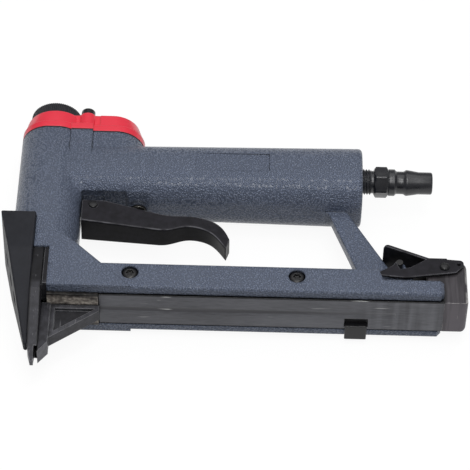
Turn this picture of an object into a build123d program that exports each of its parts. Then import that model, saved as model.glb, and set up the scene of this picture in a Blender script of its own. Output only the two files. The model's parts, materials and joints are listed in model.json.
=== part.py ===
from build123d import *
import os
from math import radians, sqrt, tan

# Pneumatic picture frame nailer, in millimetres, lying on its right side.
# While it is drawn, X runs back from the drive line, Y runs up along it from the
# nose and Z runs out of the left side from the middle plane. The last section moves
# the whole tool so that its origin is under the middle of its box.

# Fits and gaps
RUNNING_FIT = 0.05
SEAT_FIT = 0.03
SLIDE_GAP = 0.3
FACE_GAP = 0.2
OVERCUT = 1.0

# Head of the casting
HEAD_LENGTH = 32.4
HEAD_WIDTH = 34.0
HEAD_CORNER = 14.0
HEAD_TOP = 143.0
LOBE_RADIUS = 14.3
LOBE_REACH = 46.0
BOSS_X = 14.5
BOSS_LENGTH = 11.0
BOSS_WIDTH = 31.6
BORE_RADIUS = 13.1
BORE_FLOOR = 84.0
AIR_JACKET_RADIUS = 14.2
AIR_JACKET_LOW = 124.0
AIR_JACKET_HIGH = 138.0
DRIVER_SLOT_LENGTH = 2.4

# Handle and brace
HANDLE_AXIS = 121.6
HANDLE_END = 156.0
HANDLE_HEIGHT = 38.2
HANDLE_WIDTH = 35.2
HANDLE_CORNER = 14.8
HANDLE_TAPER = 0.75
HANDLE_END_ROUND = 2.0
HANDLE_ROOT_BLEND = 5.0
CHAMBER_RADIUS = 12.0
CHAMBER_FRONT = 28.0
CHAMBER_END_WALL = 10.0
AIR_PASSAGE_RADIUS = 4.5
BADGE_LENGTH = 37.0
BADGE_HEIGHT = 12.0
BADGE_DEPTH = 0.4
BADGE_X = 91.0
BRACE_THICKNESS = 5.0
BRACE_FOOT_X = 156.6
BRACE_FOOT_LENGTH = 18.4
BRACE_TOP_X = 139.5
BRACE_TOP_LENGTH = 9.6
BRACE_TOP_Y = 101.0
BRACE_BLEND = 4.0

# Magazine housing, the lower rail of the casting
RAIL_TOP = 53.2
RAIL_DEPTH = 15.9
RAIL_WIDTH = 32.0
RAIL_WALL = 4.8
RAIL_ROOF = 2.5
RAIL_END = 193.9
RAIL_EDGE = 1.8
REAR_WALL_X = 162.2
REAR_WALL_SLOPE = 2.6
REAR_WALL_TOP = 45.9
SADDLE_END = 179.5
SADDLE_GAP = 1.2
PAD_STEP = 0.5
PAD_TOP_X = 10.0
PAD_TOP_Y = 70.8
PAD_FOOT_X = 43.5

# Nose stack
WEDGE_TOP = 81.9
WEDGE_LENGTH = 17.1
WEDGE_WIDTH = 40.0
WEDGE_CREASE = 57.9
WEDGE_TIP_Y = 11.4
WEDGE_TIP_LENGTH = 1.8
WEDGE_TIP_WIDTH = 5.0
WEDGE_EDGE = 0.6
NOSE_TOP = 61.4
FRONT_PLATE = 5.1
FRONT_PLATE_SHOULDER = 35.4
FRONT_PLATE_TIP_WIDTH = 3.4
NOSE_TIP = 1.8
FRONT_PLATE_BEVEL = 10.4
FRONT_PLATE_TIP = 1.5
REAR_PLATE = 2.7
REAR_PLATE_BASE = 38.4
PLATE_SEAM = 0.6
PLATE_SEAM_DEPTH = 1.5
NAIL_SLOT_WIDTH = 7.2
BRACKET_THICKNESS = 4.5
BRACKET_WIDTH = 9.0
BRACKET_TIP_FRONT = 5.4
BRACKET_TIP_REAR = 11.4
FOOT_WIDTH = 6.4
FOOT_LENGTH = 23.4
FOOT_HEEL = 3.4
FOOT_ROOT = 15.0
FOOT_RIM = 2.2
FOOT_POCKET = 1.8
WEDGE_SCREW_TOP = 67.0
WEDGE_SCREW_STEP = 12.5
WEDGE_SCREW_COUNT = 3
WEDGE_SCREW_HEAD = 3.5
PLATE_SCREW_Y = (43.0, 56.0)
PLATE_SCREW_INSET = 3.0
PLATE_SCREW_REACH = 8.0
M3_RADIUS = 1.5
M3_HEAD_RADIUS = 2.7
M3_SOCKET = 2.5

# Drive
SLEEVE_INNER = 10.5
SLEEVE_GAP = 0.2
SLEEVE_TOP = 141.5
SEAL_WIRE = 0.8
SEAL_HEIGHTS = (93.0, 119.0)
BUMPER_HEIGHT = 6.0
PISTON_HEIGHT = 7.0
PISTON_GAP = 0.25
DRIVER_WIDTH = 9.0
DRIVER_THICKNESS = 1.5
DRIVER_GAP = 0.15
DRIVER_TIP = 50.9
DRIVER_ROOT = 3.0
VALVE_DISC_RADIUS = 11.4
VALVE_DISC_HEIGHT = 4.0
VALVE_SPIGOT_RADIUS = 5.0
VALVE_TRAVEL = 2.0
VALVE_SPRING_RADIUS = 7.6
VALVE_SPRING_WIRE = 0.5
VALVE_SPRING_TURNS = 3

# Cap and deflector
GASKET = 0.7
CAP_HEIGHT = 12.1
CAP_FLANGE = 4.0
CAP_STEP = 0.4
CAP_FRONT_DRAFT = 1.4
CAP_REAR_DRAFT = 2.6
CAP_TOP_FLAT = 0.1
CAP_ROOF = 3.6
CAP_WAIST_WIDTH = 25.6
CAP_WAIST_END = 23.3
CAP_BOSS_RADIUS = 4.4
CAP_TOP_EDGE = 0.8
CAP_SCREW_X = 16.65
CAP_SCREW_SPREAD = 10.7
CAP_SCREW_REAR_X = 36.0
CAP_SCREW_DEPTH = 12.0
CAP_SCREW_HEAD_HEIGHT = 4.6
EXHAUST_HOLES = 6
EXHAUST_HOLE_RADIUS = 1.5
EXHAUST_CIRCLE = 7.0
DEFLECTOR_RADIUS = 13.0
DEFLECTOR_HEIGHT = 8.4
DEFLECTOR_WALL = 2.0
DEFLECTOR_ROOF = 3.4
DEFLECTOR_FLUTES = 80
DEFLECTOR_FLUTE_RADIUS = 0.3
DEFLECTOR_WINDOW = 12.0
DEFLECTOR_HUB_RADIUS = 4.2
DEFLECTOR_DISH_RADIUS = 5.0
DEFLECTOR_DISH_DEPTH = 2.0
M4_RADIUS = 2.0
M4_HEAD_RADIUS = 3.5
M4_SOCKET = 3.0

# Trigger and its valve
TRIGGER_PIN_X = 22.3
TRIGGER_PIN_Y = 98.8
TRIGGER_PIN_RADIUS = 2.2
TRIGGER_FRONT_GAP = 0.6
TRIGGER_ROOT_WIDTH = 15.0
TRIGGER_TIP_WIDTH = 9.6
TRIGGER_SHEET = 1.5
TRIGGER_FOLD = 1.0
TRIGGER_RIM = 3.0
TRIGGER_RIM_LENGTH = 6.0
TRIGGER_ROOT_DEPTH = 10.4
TRIGGER_BEND_REACH = 32.5
TRIGGER_BEND_DEPTH = 14.6
TRIGGER_ARCH_START = 19.4
TRIGGER_ARCH_START_RISE = 13.4
TRIGGER_ARCH_END = 10.2
TRIGGER_ARCH_END_RISE = 11.6
TRIGGER_BACK_START = 21.4
TRIGGER_BACK_START_RISE = 20.3
TRIGGER_BACK_END = 6.6
TRIGGER_BACK_END_RISE = 17.3
TRIGGER_WAIST = 40.6
TRIGGER_WAIST_RISE = 22.7
TRIGGER_TIP_LEAN = 1.8
TRIGGER_TIP_HEIGHT = 5.8
TRIGGER_TIP_X = 88.6
TRIGGER_TIP_Y = 73.8
LUG_RADIUS = 5.0
POCKET_END = 41.0
POCKET_WIDTH = 19.0
POCKET_ROOF = 106.4
POCKET_SLOPE = 3.0
STEM_X = 44.5
STEM_RADIUS = 1.5
STEM_GAP = 0.4
STEM_HEAD_RADIUS = 2.6
STEM_HEAD_HEIGHT = 2.0
VALVE_BODY_RADIUS = 3.6
VALVE_BODY_FLANGE = 4.2
VALVE_BODY_LOW = 101.0
VALVE_BODY_HIGH = 113.0
VALVE_BOSS_RADIUS = 5.4
VALVE_BOSS_LOW = 102.3
STEM_SPRING_RADIUS = 2.2
STEM_SPRING_WIRE = 0.3
STEM_SPRING_TURNS = 9

# Air plug, a quarter inch quick coupler nipple
PLUG_AXIS = 126.2
PLUG_THREAD_RADIUS = 6.58
PLUG_THREAD_SHOWN = 5.0
PLUG_NECK_RADIUS = 5.9
PLUG_NECK = 1.7
PLUG_HEX = 14.0
PLUG_HEX_LENGTH = 6.8
PLUG_HEX_TURN = 5.0
PLUG_COLLAR_RADIUS = 6.75
PLUG_COLLAR = 3.7
PLUG_GROOVE_RADIUS = 5.72
PLUG_GROOVE = 4.5
PLUG_SHOULDER_RADIUS = 6.58
PLUG_SHOULDER = 1.2
PLUG_TAPER = 6.0
PLUG_TIP_RADIUS = 5.62
PLUG_TIP = 7.0
PLUG_EDGE = 0.6
PLUG_BORE = 3.75

# Nail rail and sliding magazine
NAIL_RAIL_END = 185.0
SHOE_LENGTH = 24.6
SHOE_BASE = 36.0
SHOULDER_BASE = 43.4
TONGUE_BASE = 38.6
SLOT_TOP = 49.2
CHANNEL_SHEET = 1.5
CHANNEL_TOP = 42.9
CHANNEL_BEND = 0.3
CHANNEL_SIDE_GAP = 0.9
BEAD_RADIUS = 7.7
BEAD_DEPTH = 0.35
BLOCK_FRONT = 186.4
BLOCK_LENGTH = 11.55
BLOCK_WIDTH = 20.8
BLOCK_TOP = 60.4
BLOCK_LIP_TOP = 62.4
BLOCK_LIP_LENGTH = 7.2
BLOCK_CORNER = 2.5
BLOCK_SLOT_WIDTH = 8.0
BLOCK_SLOT_FLOOR = 51.0
ROD_RADIUS = 1.4
ROD_Y = 46.3
ROD_FRONT = 8.0
ROD_SOCKET = 8.0
PUSHER_LENGTH = 22.0
PUSHER_TOP_GAP = 0.4
SPRING_RADIUS = 2.2
SPRING_WIRE = 0.35
SPRING_TURNS = 16
CLIP_X = 147.2
CLIP_LENGTH = 10.6
CLIP_SHEET = 1.3
CLIP_LIP = 0.5
CLIP_INNER = 7.0
CLIP_WINDOW_GAP = 0.4
CLIP_WINDOW_WIDTH = 4.2
RAIL_SCREW_X = (43.1, 123.3)
RAIL_SCREW_Y = 46.7
RAIL_SCREW_HEAD_RADIUS = 3.9
RAIL_SCREW_HEAD_HEIGHT = 2.0
RAIL_SCREW_SINK = 2.2
RAIL_SCREW_TIP = 5.0

# Latch
LATCH_PIVOT_X = 194.8
LATCH_PIVOT_Y = 58.6
LATCH_PIN_RADIUS = 1.7
LATCH_TAIL = 9.4
LATCH_TAIL_RISE = 1.2
LATCH_TAIL_DROP = 1.2
LATCH_TAIL_ROUND = 2.0
LATCH_EYE_X = 7.0
LATCH_EYE_Y = 1.7
LATCH_EYE_RADIUS = 0.8
LATCH_HEEL = 5.6
LATCH_HEEL_DEPTH = 3.4
LATCH_BELLY_X = 2.6
LATCH_BELLY_DEPTH = 11.4
LATCH_NOSE = 10.3
LATCH_NOSE_DEPTH = 10.2
LATCH_NOSE_HEIGHT = 2.1
LATCH_NOSE_ROUND = 0.9
LATCH_HOOK_FOOT = 3.6
LATCH_HOOK_FOOT_DEPTH = 3.8
LATCH_HOOK_TIP = 2.0
LATCH_HOOK_TIP_DEPTH = 1.0
LATCH_THROAT_DEPTH = 6.0
LATCH_THROAT_END = 5.0
LATCH_THROAT_END_DEPTH = 4.6
LATCH_SHEET = 1.5
LATCH_PLATE_LOW = 62.8
LATCH_PLATE_REAR = 1.4
LATCH_FLAP_X = 187.4
LATCH_FLAP_GAP = 2.1
LATCH_FLAP_TIP_Y = 73.2
LATCH_FLAP_ROUND = 2.5
RIVET_HEAD_RADIUS = 2.4
RIVET_HEAD_HEIGHT = 1.0
KEEPER_X = 173.3
KEEPER_Y = 62.6
KEEPER_RADIUS = 1.7
KEEPER_LUG_WIDTH = 12.0
KEEPER_LUG_RADIUS = 3.4
LEAF_SHEET = 0.6
LEAF_SIDE_GAP = 1.0
LEAF_BEND = 1.0

# Levels and planes worked out from the sizes above
RAIL_BASE = RAIL_TOP - RAIL_DEPTH
RAIL_INNER = RAIL_WIDTH / 2 - RAIL_WALL
PAD_WIDTH = RAIL_WIDTH + 2 * PAD_STEP
ROOF_BASE = RAIL_TOP - RAIL_ROOF
CAP_BASE = HEAD_TOP + GASKET
CAP_TOP = CAP_BASE + CAP_HEIGHT
LOBE_X = LOBE_REACH - LOBE_RADIUS
GROOVE_HALF = DRIVER_THICKNESS / 2 + DRIVER_GAP
FRONT_PLATE_WIDTH = RAIL_WIDTH
FRONT_PLATE_REAR = GROOVE_HALF
FRONT_PLATE_FRONT = FRONT_PLATE_REAR - FRONT_PLATE
REAR_PLATE_REAR = FRONT_PLATE_REAR + REAR_PLATE
NOSE_SEAT = REAR_PLATE_REAR
PLATE_SCREW_Z = FRONT_PLATE_WIDTH / 2 - PLATE_SCREW_INSET
WEDGE_REAR = FRONT_PLATE_FRONT
WEDGE_FRONT = WEDGE_REAR - WEDGE_LENGTH
LEDGE = WEDGE_TOP + FACE_GAP
SLEEVE_OUTER = BORE_RADIUS - SLEEVE_GAP
BUMPER_TOP = BORE_FLOOR + BUMPER_HEIGHT
PISTON_TOP = SLEEVE_TOP - FACE_GAP
PISTON_BASE = PISTON_TOP - PISTON_HEIGHT
CAP_POCKET_ROOF = CAP_TOP - CAP_ROOF
NAIL_RAIL_WIDTH = 2 * (RAIL_INNER - SLIDE_GAP)
CHANNEL_WIDTH = 2 * (RAIL_INNER - CHANNEL_SIDE_GAP)
CHANNEL_INNER = CHANNEL_WIDTH / 2 - CHANNEL_SHEET
TONGUE_WIDTH = 2 * (CHANNEL_INNER - SLIDE_GAP)
CHANNEL_BASE = TONGUE_BASE - SLIDE_GAP - CHANNEL_SHEET
CHANNEL_FRONT = NOSE_SEAT + SHOE_LENGTH + SLIDE_GAP
BLOCK_REAR = RAIL_END + SLIDE_GAP + BLOCK_LENGTH
BLOCK_LIP_FRONT = BLOCK_REAR - BLOCK_LIP_LENGTH
SLOT_HALF = NAIL_SLOT_WIDTH / 2
LATCH_INNER = BLOCK_WIDTH / 2 + SLIDE_GAP
LATCH_OUTER = LATCH_INNER + LATCH_SHEET
LATCH_TOP = LATCH_PLATE_LOW + LATCH_SHEET
SADDLE_WIDTH = 2 * (LATCH_INNER - SADDLE_GAP)
LEAF_WIDTH = BLOCK_SLOT_WIDTH - 2 * LEAF_SIDE_GAP
CLIP_REACH = RAIL_WIDTH / 2 + CLIP_LIP
BRACE_REAR_FOOT = BRACE_FOOT_X + BRACE_FOOT_LENGTH
BRACE_REAR_TOP = BRACE_TOP_X + BRACE_TOP_LENGTH
TRIGGER_FRONT = HEAD_LENGTH / 2 + TRIGGER_FRONT_GAP
TRIGGER_BEND_X = TRIGGER_PIN_X + TRIGGER_BEND_REACH
PLUG_START = HANDLE_END + PLUG_THREAD_SHOWN


# Helpers
def block(x, y, z):
    """A box between pairs of limits along each axis."""
    middle = [(low + high) / 2 for low, high in (x, y, z)]
    size = [high - low for low, high in (x, y, z)]
    return Pos(*middle) * Box(*size)


def side_plate(outline, z):
    """A side view outline given its thickness between two limits across the tool."""
    return Pos(0, 0, z[0]) * extrude(make_face(outline), z[1] - z[0])


def mirrored(z_low, z_high):
    """The same pair of limits on the left and on the right side."""
    return [(z_low, z_high), (-z_high, -z_low)]


def upright(sketch, y):
    """A plan view sketch raised between two heights."""
    plane = Plane(origin=(0, y[0], 0), x_dir=(1, 0, 0), z_dir=(0, 1, 0))
    return extrude(plane * sketch, y[1] - y[0])


def lengthwise(sketch, x):
    """A front view sketch, drawn with Y and Z as its axes, run back between two stations."""
    plane = Plane(origin=(x[0], 0, 0), x_dir=(0, 1, 0), z_dir=(1, 0, 0))
    return extrude(plane * sketch, x[1] - x[0])


def rod_x(radius, x, y, z=0):
    return lengthwise(Pos(y, z) * Circle(radius), x)


def rod_y(radius, y, x, z=0):
    return upright(Pos(x, -z) * Circle(radius), y)


def rod_z(radius, z, x, y):
    return Pos(x, y, z[0]) * extrude(Circle(radius), z[1] - z[0])


def spring(radius, wire, length, turns):
    """A compression spring along +Z from the origin."""
    path = Helix(length / turns, length, radius)
    return sweep(Plane(origin=path @ 0, z_dir=path % 0) * Circle(wire), path=path, is_frenet=True)


def along_y(solid, x, y):
    """Turns a piece made along +Z so that it stands along the drive line."""
    return Pos(x, y, 0) * Rot(-90, 0, 0) * solid


def along_x(solid, x, y):
    """Turns a piece made along +Z so that it runs back along the tool."""
    return Pos(x, y, 0) * Rot(0, 90, 0) * solid


# Casting
def head_front(inset=0.0):
    return RectangleRounded(HEAD_LENGTH - 2 * inset, HEAD_WIDTH - 2 * inset, HEAD_CORNER - inset)


def head_lobe(inset=0.0, start=0.0):
    radius = LOBE_RADIUS - inset
    bridge = Pos((start + LOBE_X) / 2, 0) * Rectangle(LOBE_X - start, 2 * radius)
    return bridge + Pos(LOBE_X, 0) * Circle(radius)


def head_outline():
    """Plan of the head's top, shared by the casting, the gasket and the cap's flange."""
    boss = Pos(BOSS_X, 0) * Rectangle(BOSS_LENGTH, BOSS_WIDTH)
    return head_front() + head_lobe() + boss


def cap_screw_places():
    return [(CAP_SCREW_X, CAP_SCREW_SPREAD), (CAP_SCREW_X, -CAP_SCREW_SPREAD), (CAP_SCREW_REAR_X, 0)]


def plate_screw_places():
    return [(y, z) for y in PLATE_SCREW_Y for z in (PLATE_SCREW_Z, -PLATE_SCREW_Z)]


def wedge_screw_heights():
    return [WEDGE_SCREW_TOP - i * WEDGE_SCREW_STEP for i in range(WEDGE_SCREW_COUNT)]


def handle_half(x, rear_size):
    """Half of the handle's height or width at one station."""
    return rear_size / 2 - (HANDLE_END - x) * tan(radians(HANDLE_TAPER))


def make_handle():
    """A tapered grip that starts inside the head and is thickest at its rear end."""
    plane = Plane(origin=(HANDLE_END, HANDLE_AXIS, 0), x_dir=(0, 1, 0), z_dir=(-1, 0, 0))
    section = plane * RectangleRounded(HANDLE_HEIGHT, HANDLE_WIDTH, HANDLE_CORNER)
    handle = extrude(section, HANDLE_END, taper=HANDLE_TAPER)
    end = handle.faces().sort_by(Axis.X)[-1]
    return fillet(end.edges(), HANDLE_END_ROUND)


def make_head_and_handle():
    """The head and the handle, blended together where the handle leaves the head."""
    head = upright(head_front(), (ROOF_BASE, HEAD_TOP)) + upright(head_lobe(), (HANDLE_AXIS, HEAD_TOP))
    handle = make_handle()
    joined = head + handle
    seam = new_edges(head, handle, combined=joined)
    root = [edge for edge in seam if edge.center().Y < HANDLE_AXIS - HANDLE_ROOT_BLEND]
    return fillet(root, HANDLE_ROOT_BLEND)


def brace_front(y):
    share = (y - RAIL_TOP) / (BRACE_TOP_Y - RAIL_TOP)
    return BRACE_FOOT_X + (BRACE_TOP_X - BRACE_FOOT_X) * share


def brace_rear(y):
    share = (y - RAIL_TOP) / (BRACE_TOP_Y - RAIL_TOP)
    return BRACE_REAR_FOOT + (BRACE_REAR_TOP - BRACE_REAR_FOOT) * share


def make_brace():
    """A flat web that leans from the magazine housing up into the handle."""
    handle_base = HANDLE_AXIS - handle_half(BRACE_TOP_X, HANDLE_HEIGHT)
    front_foot = (BRACE_FOOT_X, RAIL_TOP)
    rear_foot = (BRACE_REAR_FOOT, RAIL_TOP)
    front_top = (brace_front(handle_base), handle_base)
    rear_top = (brace_rear(handle_base), handle_base)
    web = make_face(Polyline(front_foot, rear_foot, rear_top, front_top, close=True))
    span = (BRACE_TOP_X - 2 * BRACE_BLEND, SADDLE_END)
    foot = Pos(sum(span) / 2, RAIL_TOP - RAIL_ROOF / 4) * Rectangle(span[1] - span[0], RAIL_ROOF / 2)
    head_end = HANDLE_END - HANDLE_END_ROUND
    middle = (span[0] + head_end) / 2
    head = Pos(middle, handle_base + OVERCUT / 2) * Rectangle(head_end - span[0], OVERCUT)
    outline = web + foot + head
    open_corners = (front_foot, rear_foot, front_top)
    inner = [outline.vertices().sort_by_distance((x, y, 0))[0] for x, y in open_corners]
    outline = fillet(inner, BRACE_BLEND)
    half = BRACE_THICKNESS / 2
    return Pos(0, 0, -half) * extrude(outline, BRACE_THICKNESS)


def make_rail():
    """The lower rail: a roof on two walls, with the walls cut down behind the brace."""
    section = Pos((RAIL_TOP + RAIL_BASE) / 2, 0) * RectangleRounded(RAIL_DEPTH, RAIL_WIDTH, RAIL_EDGE)
    rail = lengthwise(section, (NOSE_SEAT, RAIL_END))
    far_end = rail.faces().sort_by(Axis.X)[-1]
    rail = chamfer(far_end.edges(), RAIL_EDGE)
    step = Polyline(
        (REAR_WALL_X, RAIL_TOP + OVERCUT),
        (REAR_WALL_X, RAIL_TOP),
        (REAR_WALL_X + REAR_WALL_SLOPE, REAR_WALL_TOP),
        (RAIL_END + OVERCUT, REAR_WALL_TOP),
        (RAIL_END + OVERCUT, RAIL_TOP + OVERCUT),
        close=True,
    )
    for z in mirrored(SADDLE_WIDTH / 2, RAIL_WIDTH):
        rail -= side_plate(step, z)
    top = (REAR_WALL_TOP, RAIL_TOP + OVERCUT)
    rail -= block((SADDLE_END, RAIL_END + OVERCUT), top, (-RAIL_WIDTH, RAIL_WIDTH))
    return rail


def make_pad():
    """The flat cheek that gussets the head into the rail."""
    outline = Polyline(
        (NOSE_SEAT, RAIL_BASE),
        (PAD_FOOT_X, RAIL_BASE),
        (PAD_TOP_X, PAD_TOP_Y),
        (NOSE_SEAT, PAD_TOP_Y),
        close=True,
    )
    return side_plate(outline, (-PAD_WIDTH / 2, PAD_WIDTH / 2))


def lug_width():
    return 2 * (trigger_half_width(TRIGGER_PIN_X) - TRIGGER_SHEET - SLIDE_GAP)


def make_trigger_lug():
    half = lug_width() / 2
    lug = rod_z(LUG_RADIUS, (-half, half), TRIGGER_PIN_X, TRIGGER_PIN_Y)
    neck = (TRIGGER_PIN_X - LUG_RADIUS, TRIGGER_PIN_X + LUG_RADIUS)
    return lug + block(neck, (TRIGGER_PIN_Y, HANDLE_AXIS - CHAMBER_RADIUS), (-half, half))


def make_trigger_pocket():
    """The recess under the handle that the trigger's root swings in."""
    low = TRIGGER_PIN_Y
    outline = Polyline(
        (HEAD_LENGTH / 2, low),
        (HEAD_LENGTH / 2, POCKET_ROOF),
        (POCKET_END - POCKET_SLOPE, POCKET_ROOF),
        (POCKET_END + POCKET_SLOPE, low),
        close=True,
    )
    return side_plate(outline, (-POCKET_WIDTH / 2, POCKET_WIDTH / 2))


def make_keeper_lug():
    half = KEEPER_LUG_WIDTH / 2
    lug = rod_z(KEEPER_LUG_RADIUS, (-half, half), KEEPER_X, KEEPER_Y)
    neck = (KEEPER_X - KEEPER_LUG_RADIUS, KEEPER_X + KEEPER_LUG_RADIUS)
    return lug + block(neck, (ROOF_BASE, KEEPER_Y), (-half, half))


def casting_cavities():
    """Everything bored or cored out of the casting."""
    slot_half = DRIVER_WIDTH / 2 + 2 * DRIVER_GAP
    chamber_end = HANDLE_END - CHAMBER_END_WALL
    cuts = [
        rod_y(BORE_RADIUS, (BORE_FLOOR, HEAD_TOP + OVERCUT), 0),
        rod_y(AIR_JACKET_RADIUS, (AIR_JACKET_LOW, AIR_JACKET_HIGH), 0),
        block((-DRIVER_SLOT_LENGTH / 2, DRIVER_SLOT_LENGTH / 2), (RAIL_BASE, BORE_FLOOR + OVERCUT),
              (-slot_half, slot_half)),
        rod_x(CHAMBER_RADIUS, (CHAMBER_FRONT, chamber_end), HANDLE_AXIS),
        rod_x(AIR_PASSAGE_RADIUS, (0, CHAMBER_FRONT + OVERCUT), AIR_JACKET_LOW + AIR_PASSAGE_RADIUS),
        rod_x(PLUG_THREAD_RADIUS + SEAT_FIT, (chamber_end - OVERCUT, HANDLE_END + OVERCUT), PLUG_AXIS),
        rod_y(VALVE_BODY_RADIUS + SEAT_FIT, (VALVE_BOSS_LOW - OVERCUT, HANDLE_AXIS), STEM_X),
        block((NOSE_SEAT - OVERCUT, RAIL_END + OVERCUT), (RAIL_BASE - OVERCUT, ROOF_BASE),
              (-RAIL_INNER, RAIL_INNER)),
        rod_z(TRIGGER_PIN_RADIUS + SEAT_FIT, (-HEAD_WIDTH, HEAD_WIDTH), TRIGGER_PIN_X, TRIGGER_PIN_Y),
        rod_z(KEEPER_RADIUS + SEAT_FIT, (-HEAD_WIDTH, HEAD_WIDTH), KEEPER_X, KEEPER_Y),
    ]
    hole = M4_RADIUS + SEAT_FIT
    for x, z in cap_screw_places():
        cuts.append(rod_y(hole, (HEAD_TOP - CAP_SCREW_DEPTH - OVERCUT, HEAD_TOP + OVERCUT), x, z))
    plate_hole = (NOSE_SEAT - OVERCUT, NOSE_SEAT + PLATE_SCREW_REACH + OVERCUT)
    for y, z in plate_screw_places():
        cuts.append(rod_x(M3_RADIUS + SEAT_FIT, plate_hole, y, z))
    top_screw = (WEDGE_REAR - OVERCUT, -DRIVER_SLOT_LENGTH / 2)
    cuts.append(rod_x(hole, top_screw, WEDGE_SCREW_TOP))
    for x in RAIL_SCREW_X:
        for z in mirrored(RAIL_INNER - OVERCUT, RAIL_WIDTH):
            cuts.append(rod_z(hole, z, x, RAIL_SCREW_Y))
        for z in mirrored(RAIL_WIDTH / 2 - RAIL_SCREW_SINK, RAIL_WIDTH):
            cuts.append(rod_z(RAIL_SCREW_HEAD_RADIUS + FACE_GAP, z, x, RAIL_SCREW_Y))
    return cuts


def make_casting():
    body = make_head_and_handle()
    body += upright(Pos(BOSS_X, 0) * Rectangle(BOSS_LENGTH, BOSS_WIDTH), (HANDLE_AXIS, HEAD_TOP))
    body += make_brace()
    body += make_pad()
    body -= make_trigger_pocket()
    body += make_trigger_lug()
    body += rod_y(VALVE_BOSS_RADIUS, (VALVE_BOSS_LOW, HANDLE_AXIS), STEM_X)
    wide = (-WEDGE_WIDTH, WEDGE_WIDTH)
    body -= block((WEDGE_FRONT, WEDGE_REAR), (0, LEDGE), wide)
    body -= block((WEDGE_FRONT, NOSE_SEAT), (0, NOSE_TOP + FACE_GAP), wide)
    body += make_rail()
    body += make_keeper_lug()
    for cut in casting_cavities():
        body -= cut
    badge_low = handle_half(BADGE_X, HANDLE_WIDTH) - BADGE_DEPTH
    badge_x = (BADGE_X - BADGE_LENGTH / 2, BADGE_X + BADGE_LENGTH / 2)
    badge_y = (HANDLE_AXIS - BADGE_HEIGHT / 2, HANDLE_AXIS + BADGE_HEIGHT / 2)
    return body - block(badge_x, badge_y, (badge_low, HEAD_WIDTH))


# Cap, gasket and deflector
def make_gasket():
    outline = head_outline() - Circle(BORE_RADIUS)
    for x, z in cap_screw_places():
        outline -= Pos(x, z) * Circle(M4_RADIUS + SEAT_FIT)
    return upright(outline, (HEAD_TOP, CAP_BASE))


def drafted(y, front, rear, width, corner):
    """A lobe of the cap: each pair gives a size at the lobe's foot and at its top."""
    sections = []
    for level, start, end, across, radius in zip(y, front, rear, width, corner):
        plane = Plane(origin=((start + end) / 2, level, 0), x_dir=(1, 0, 0), z_dir=(0, 1, 0))
        sections.append((plane * RectangleRounded(end - start, across, radius)).face())
    lobe = loft(sections)
    top = lobe.faces().sort_by(Axis.Y)[-1]
    return chamfer(top.edges(), CAP_TOP_EDGE)


def cap_crown(y):
    """The cap above its flange: a front lobe, a waist with two screw bosses and a rear lobe."""
    head_half = HEAD_LENGTH / 2 - CAP_STEP
    head_width = HEAD_WIDTH - 2 * CAP_STEP
    top_length = 2 * head_half - CAP_FRONT_DRAFT
    top_corner = min(top_length, head_width) / 2 - CAP_TOP_FLAT
    crown = drafted(y, (-head_half, CAP_FRONT_DRAFT - head_half), (head_half, head_half),
                    (head_width, head_width), (HEAD_CORNER, top_corner))
    reach = LOBE_REACH - CAP_STEP
    lobe_width = 2 * (LOBE_RADIUS - CAP_STEP)
    lobe_corner = LOBE_RADIUS - 2 * CAP_STEP
    lobe = drafted(y, (0, 0), (reach, reach - CAP_REAR_DRAFT), (lobe_width, lobe_width),
                   (lobe_corner, lobe_corner))
    crown += lobe & block((CAP_WAIST_END, reach), y, (-HEAD_WIDTH, HEAD_WIDTH))
    crown += block((0, LOBE_X), y, (-CAP_WAIST_WIDTH / 2, CAP_WAIST_WIDTH / 2))
    for z in (CAP_SCREW_SPREAD, -CAP_SCREW_SPREAD):
        crown += rod_y(CAP_BOSS_RADIUS, y, CAP_SCREW_X, z)
    return crown


def make_cap():
    flange_top = CAP_BASE + CAP_FLANGE
    cap = cap_crown((flange_top, CAP_TOP))
    cap += upright(head_outline(), (CAP_BASE, flange_top))
    pocket = VALVE_DISC_RADIUS + SLIDE_GAP
    cap -= rod_y(pocket, (CAP_BASE - OVERCUT, CAP_POCKET_ROOF), 0)
    for x, z in cap_screw_places():
        cap -= rod_y(M4_RADIUS + SEAT_FIT, (CAP_BASE - OVERCUT, CAP_TOP + OVERCUT), x, z)
    cap -= rod_y(M4_RADIUS + SEAT_FIT, (CAP_POCKET_ROOF - OVERCUT, CAP_TOP + OVERCUT), 0)
    for hole in PolarLocations(EXHAUST_CIRCLE, EXHAUST_HOLES):
        place = hole.position
        cap -= rod_y(EXHAUST_HOLE_RADIUS, (CAP_BASE, CAP_TOP + OVERCUT), place.X, place.Y)
    return cap


def socket_screw(radius, shank, head_radius, head_height, socket):
    """A socket screw along +Z: shank below the origin, head with a hexagon socket above it."""
    screw = Cylinder(head_radius, head_height, align=(Align.CENTER, Align.CENTER, Align.MIN))
    rim = screw.edges().group_by(Axis.Z)[-1]
    screw = chamfer(rim, head_height / 8)
    screw -= Pos(0, 0, head_height / 2) * extrude(RegularPolygon(socket / 2, 6), head_height)
    return screw + Cylinder(radius, shank, align=(Align.CENTER, Align.CENTER, Align.MAX))


def make_cap_screws():
    shank = CAP_SCREW_DEPTH + GASKET + CAP_HEIGHT
    screw = socket_screw(M4_RADIUS, shank, M4_HEAD_RADIUS, CAP_SCREW_HEAD_HEIGHT, M4_SOCKET)
    return [Pos(0, 0, -z) * along_y(screw, x, CAP_TOP) for x, z in cap_screw_places()]


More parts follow.
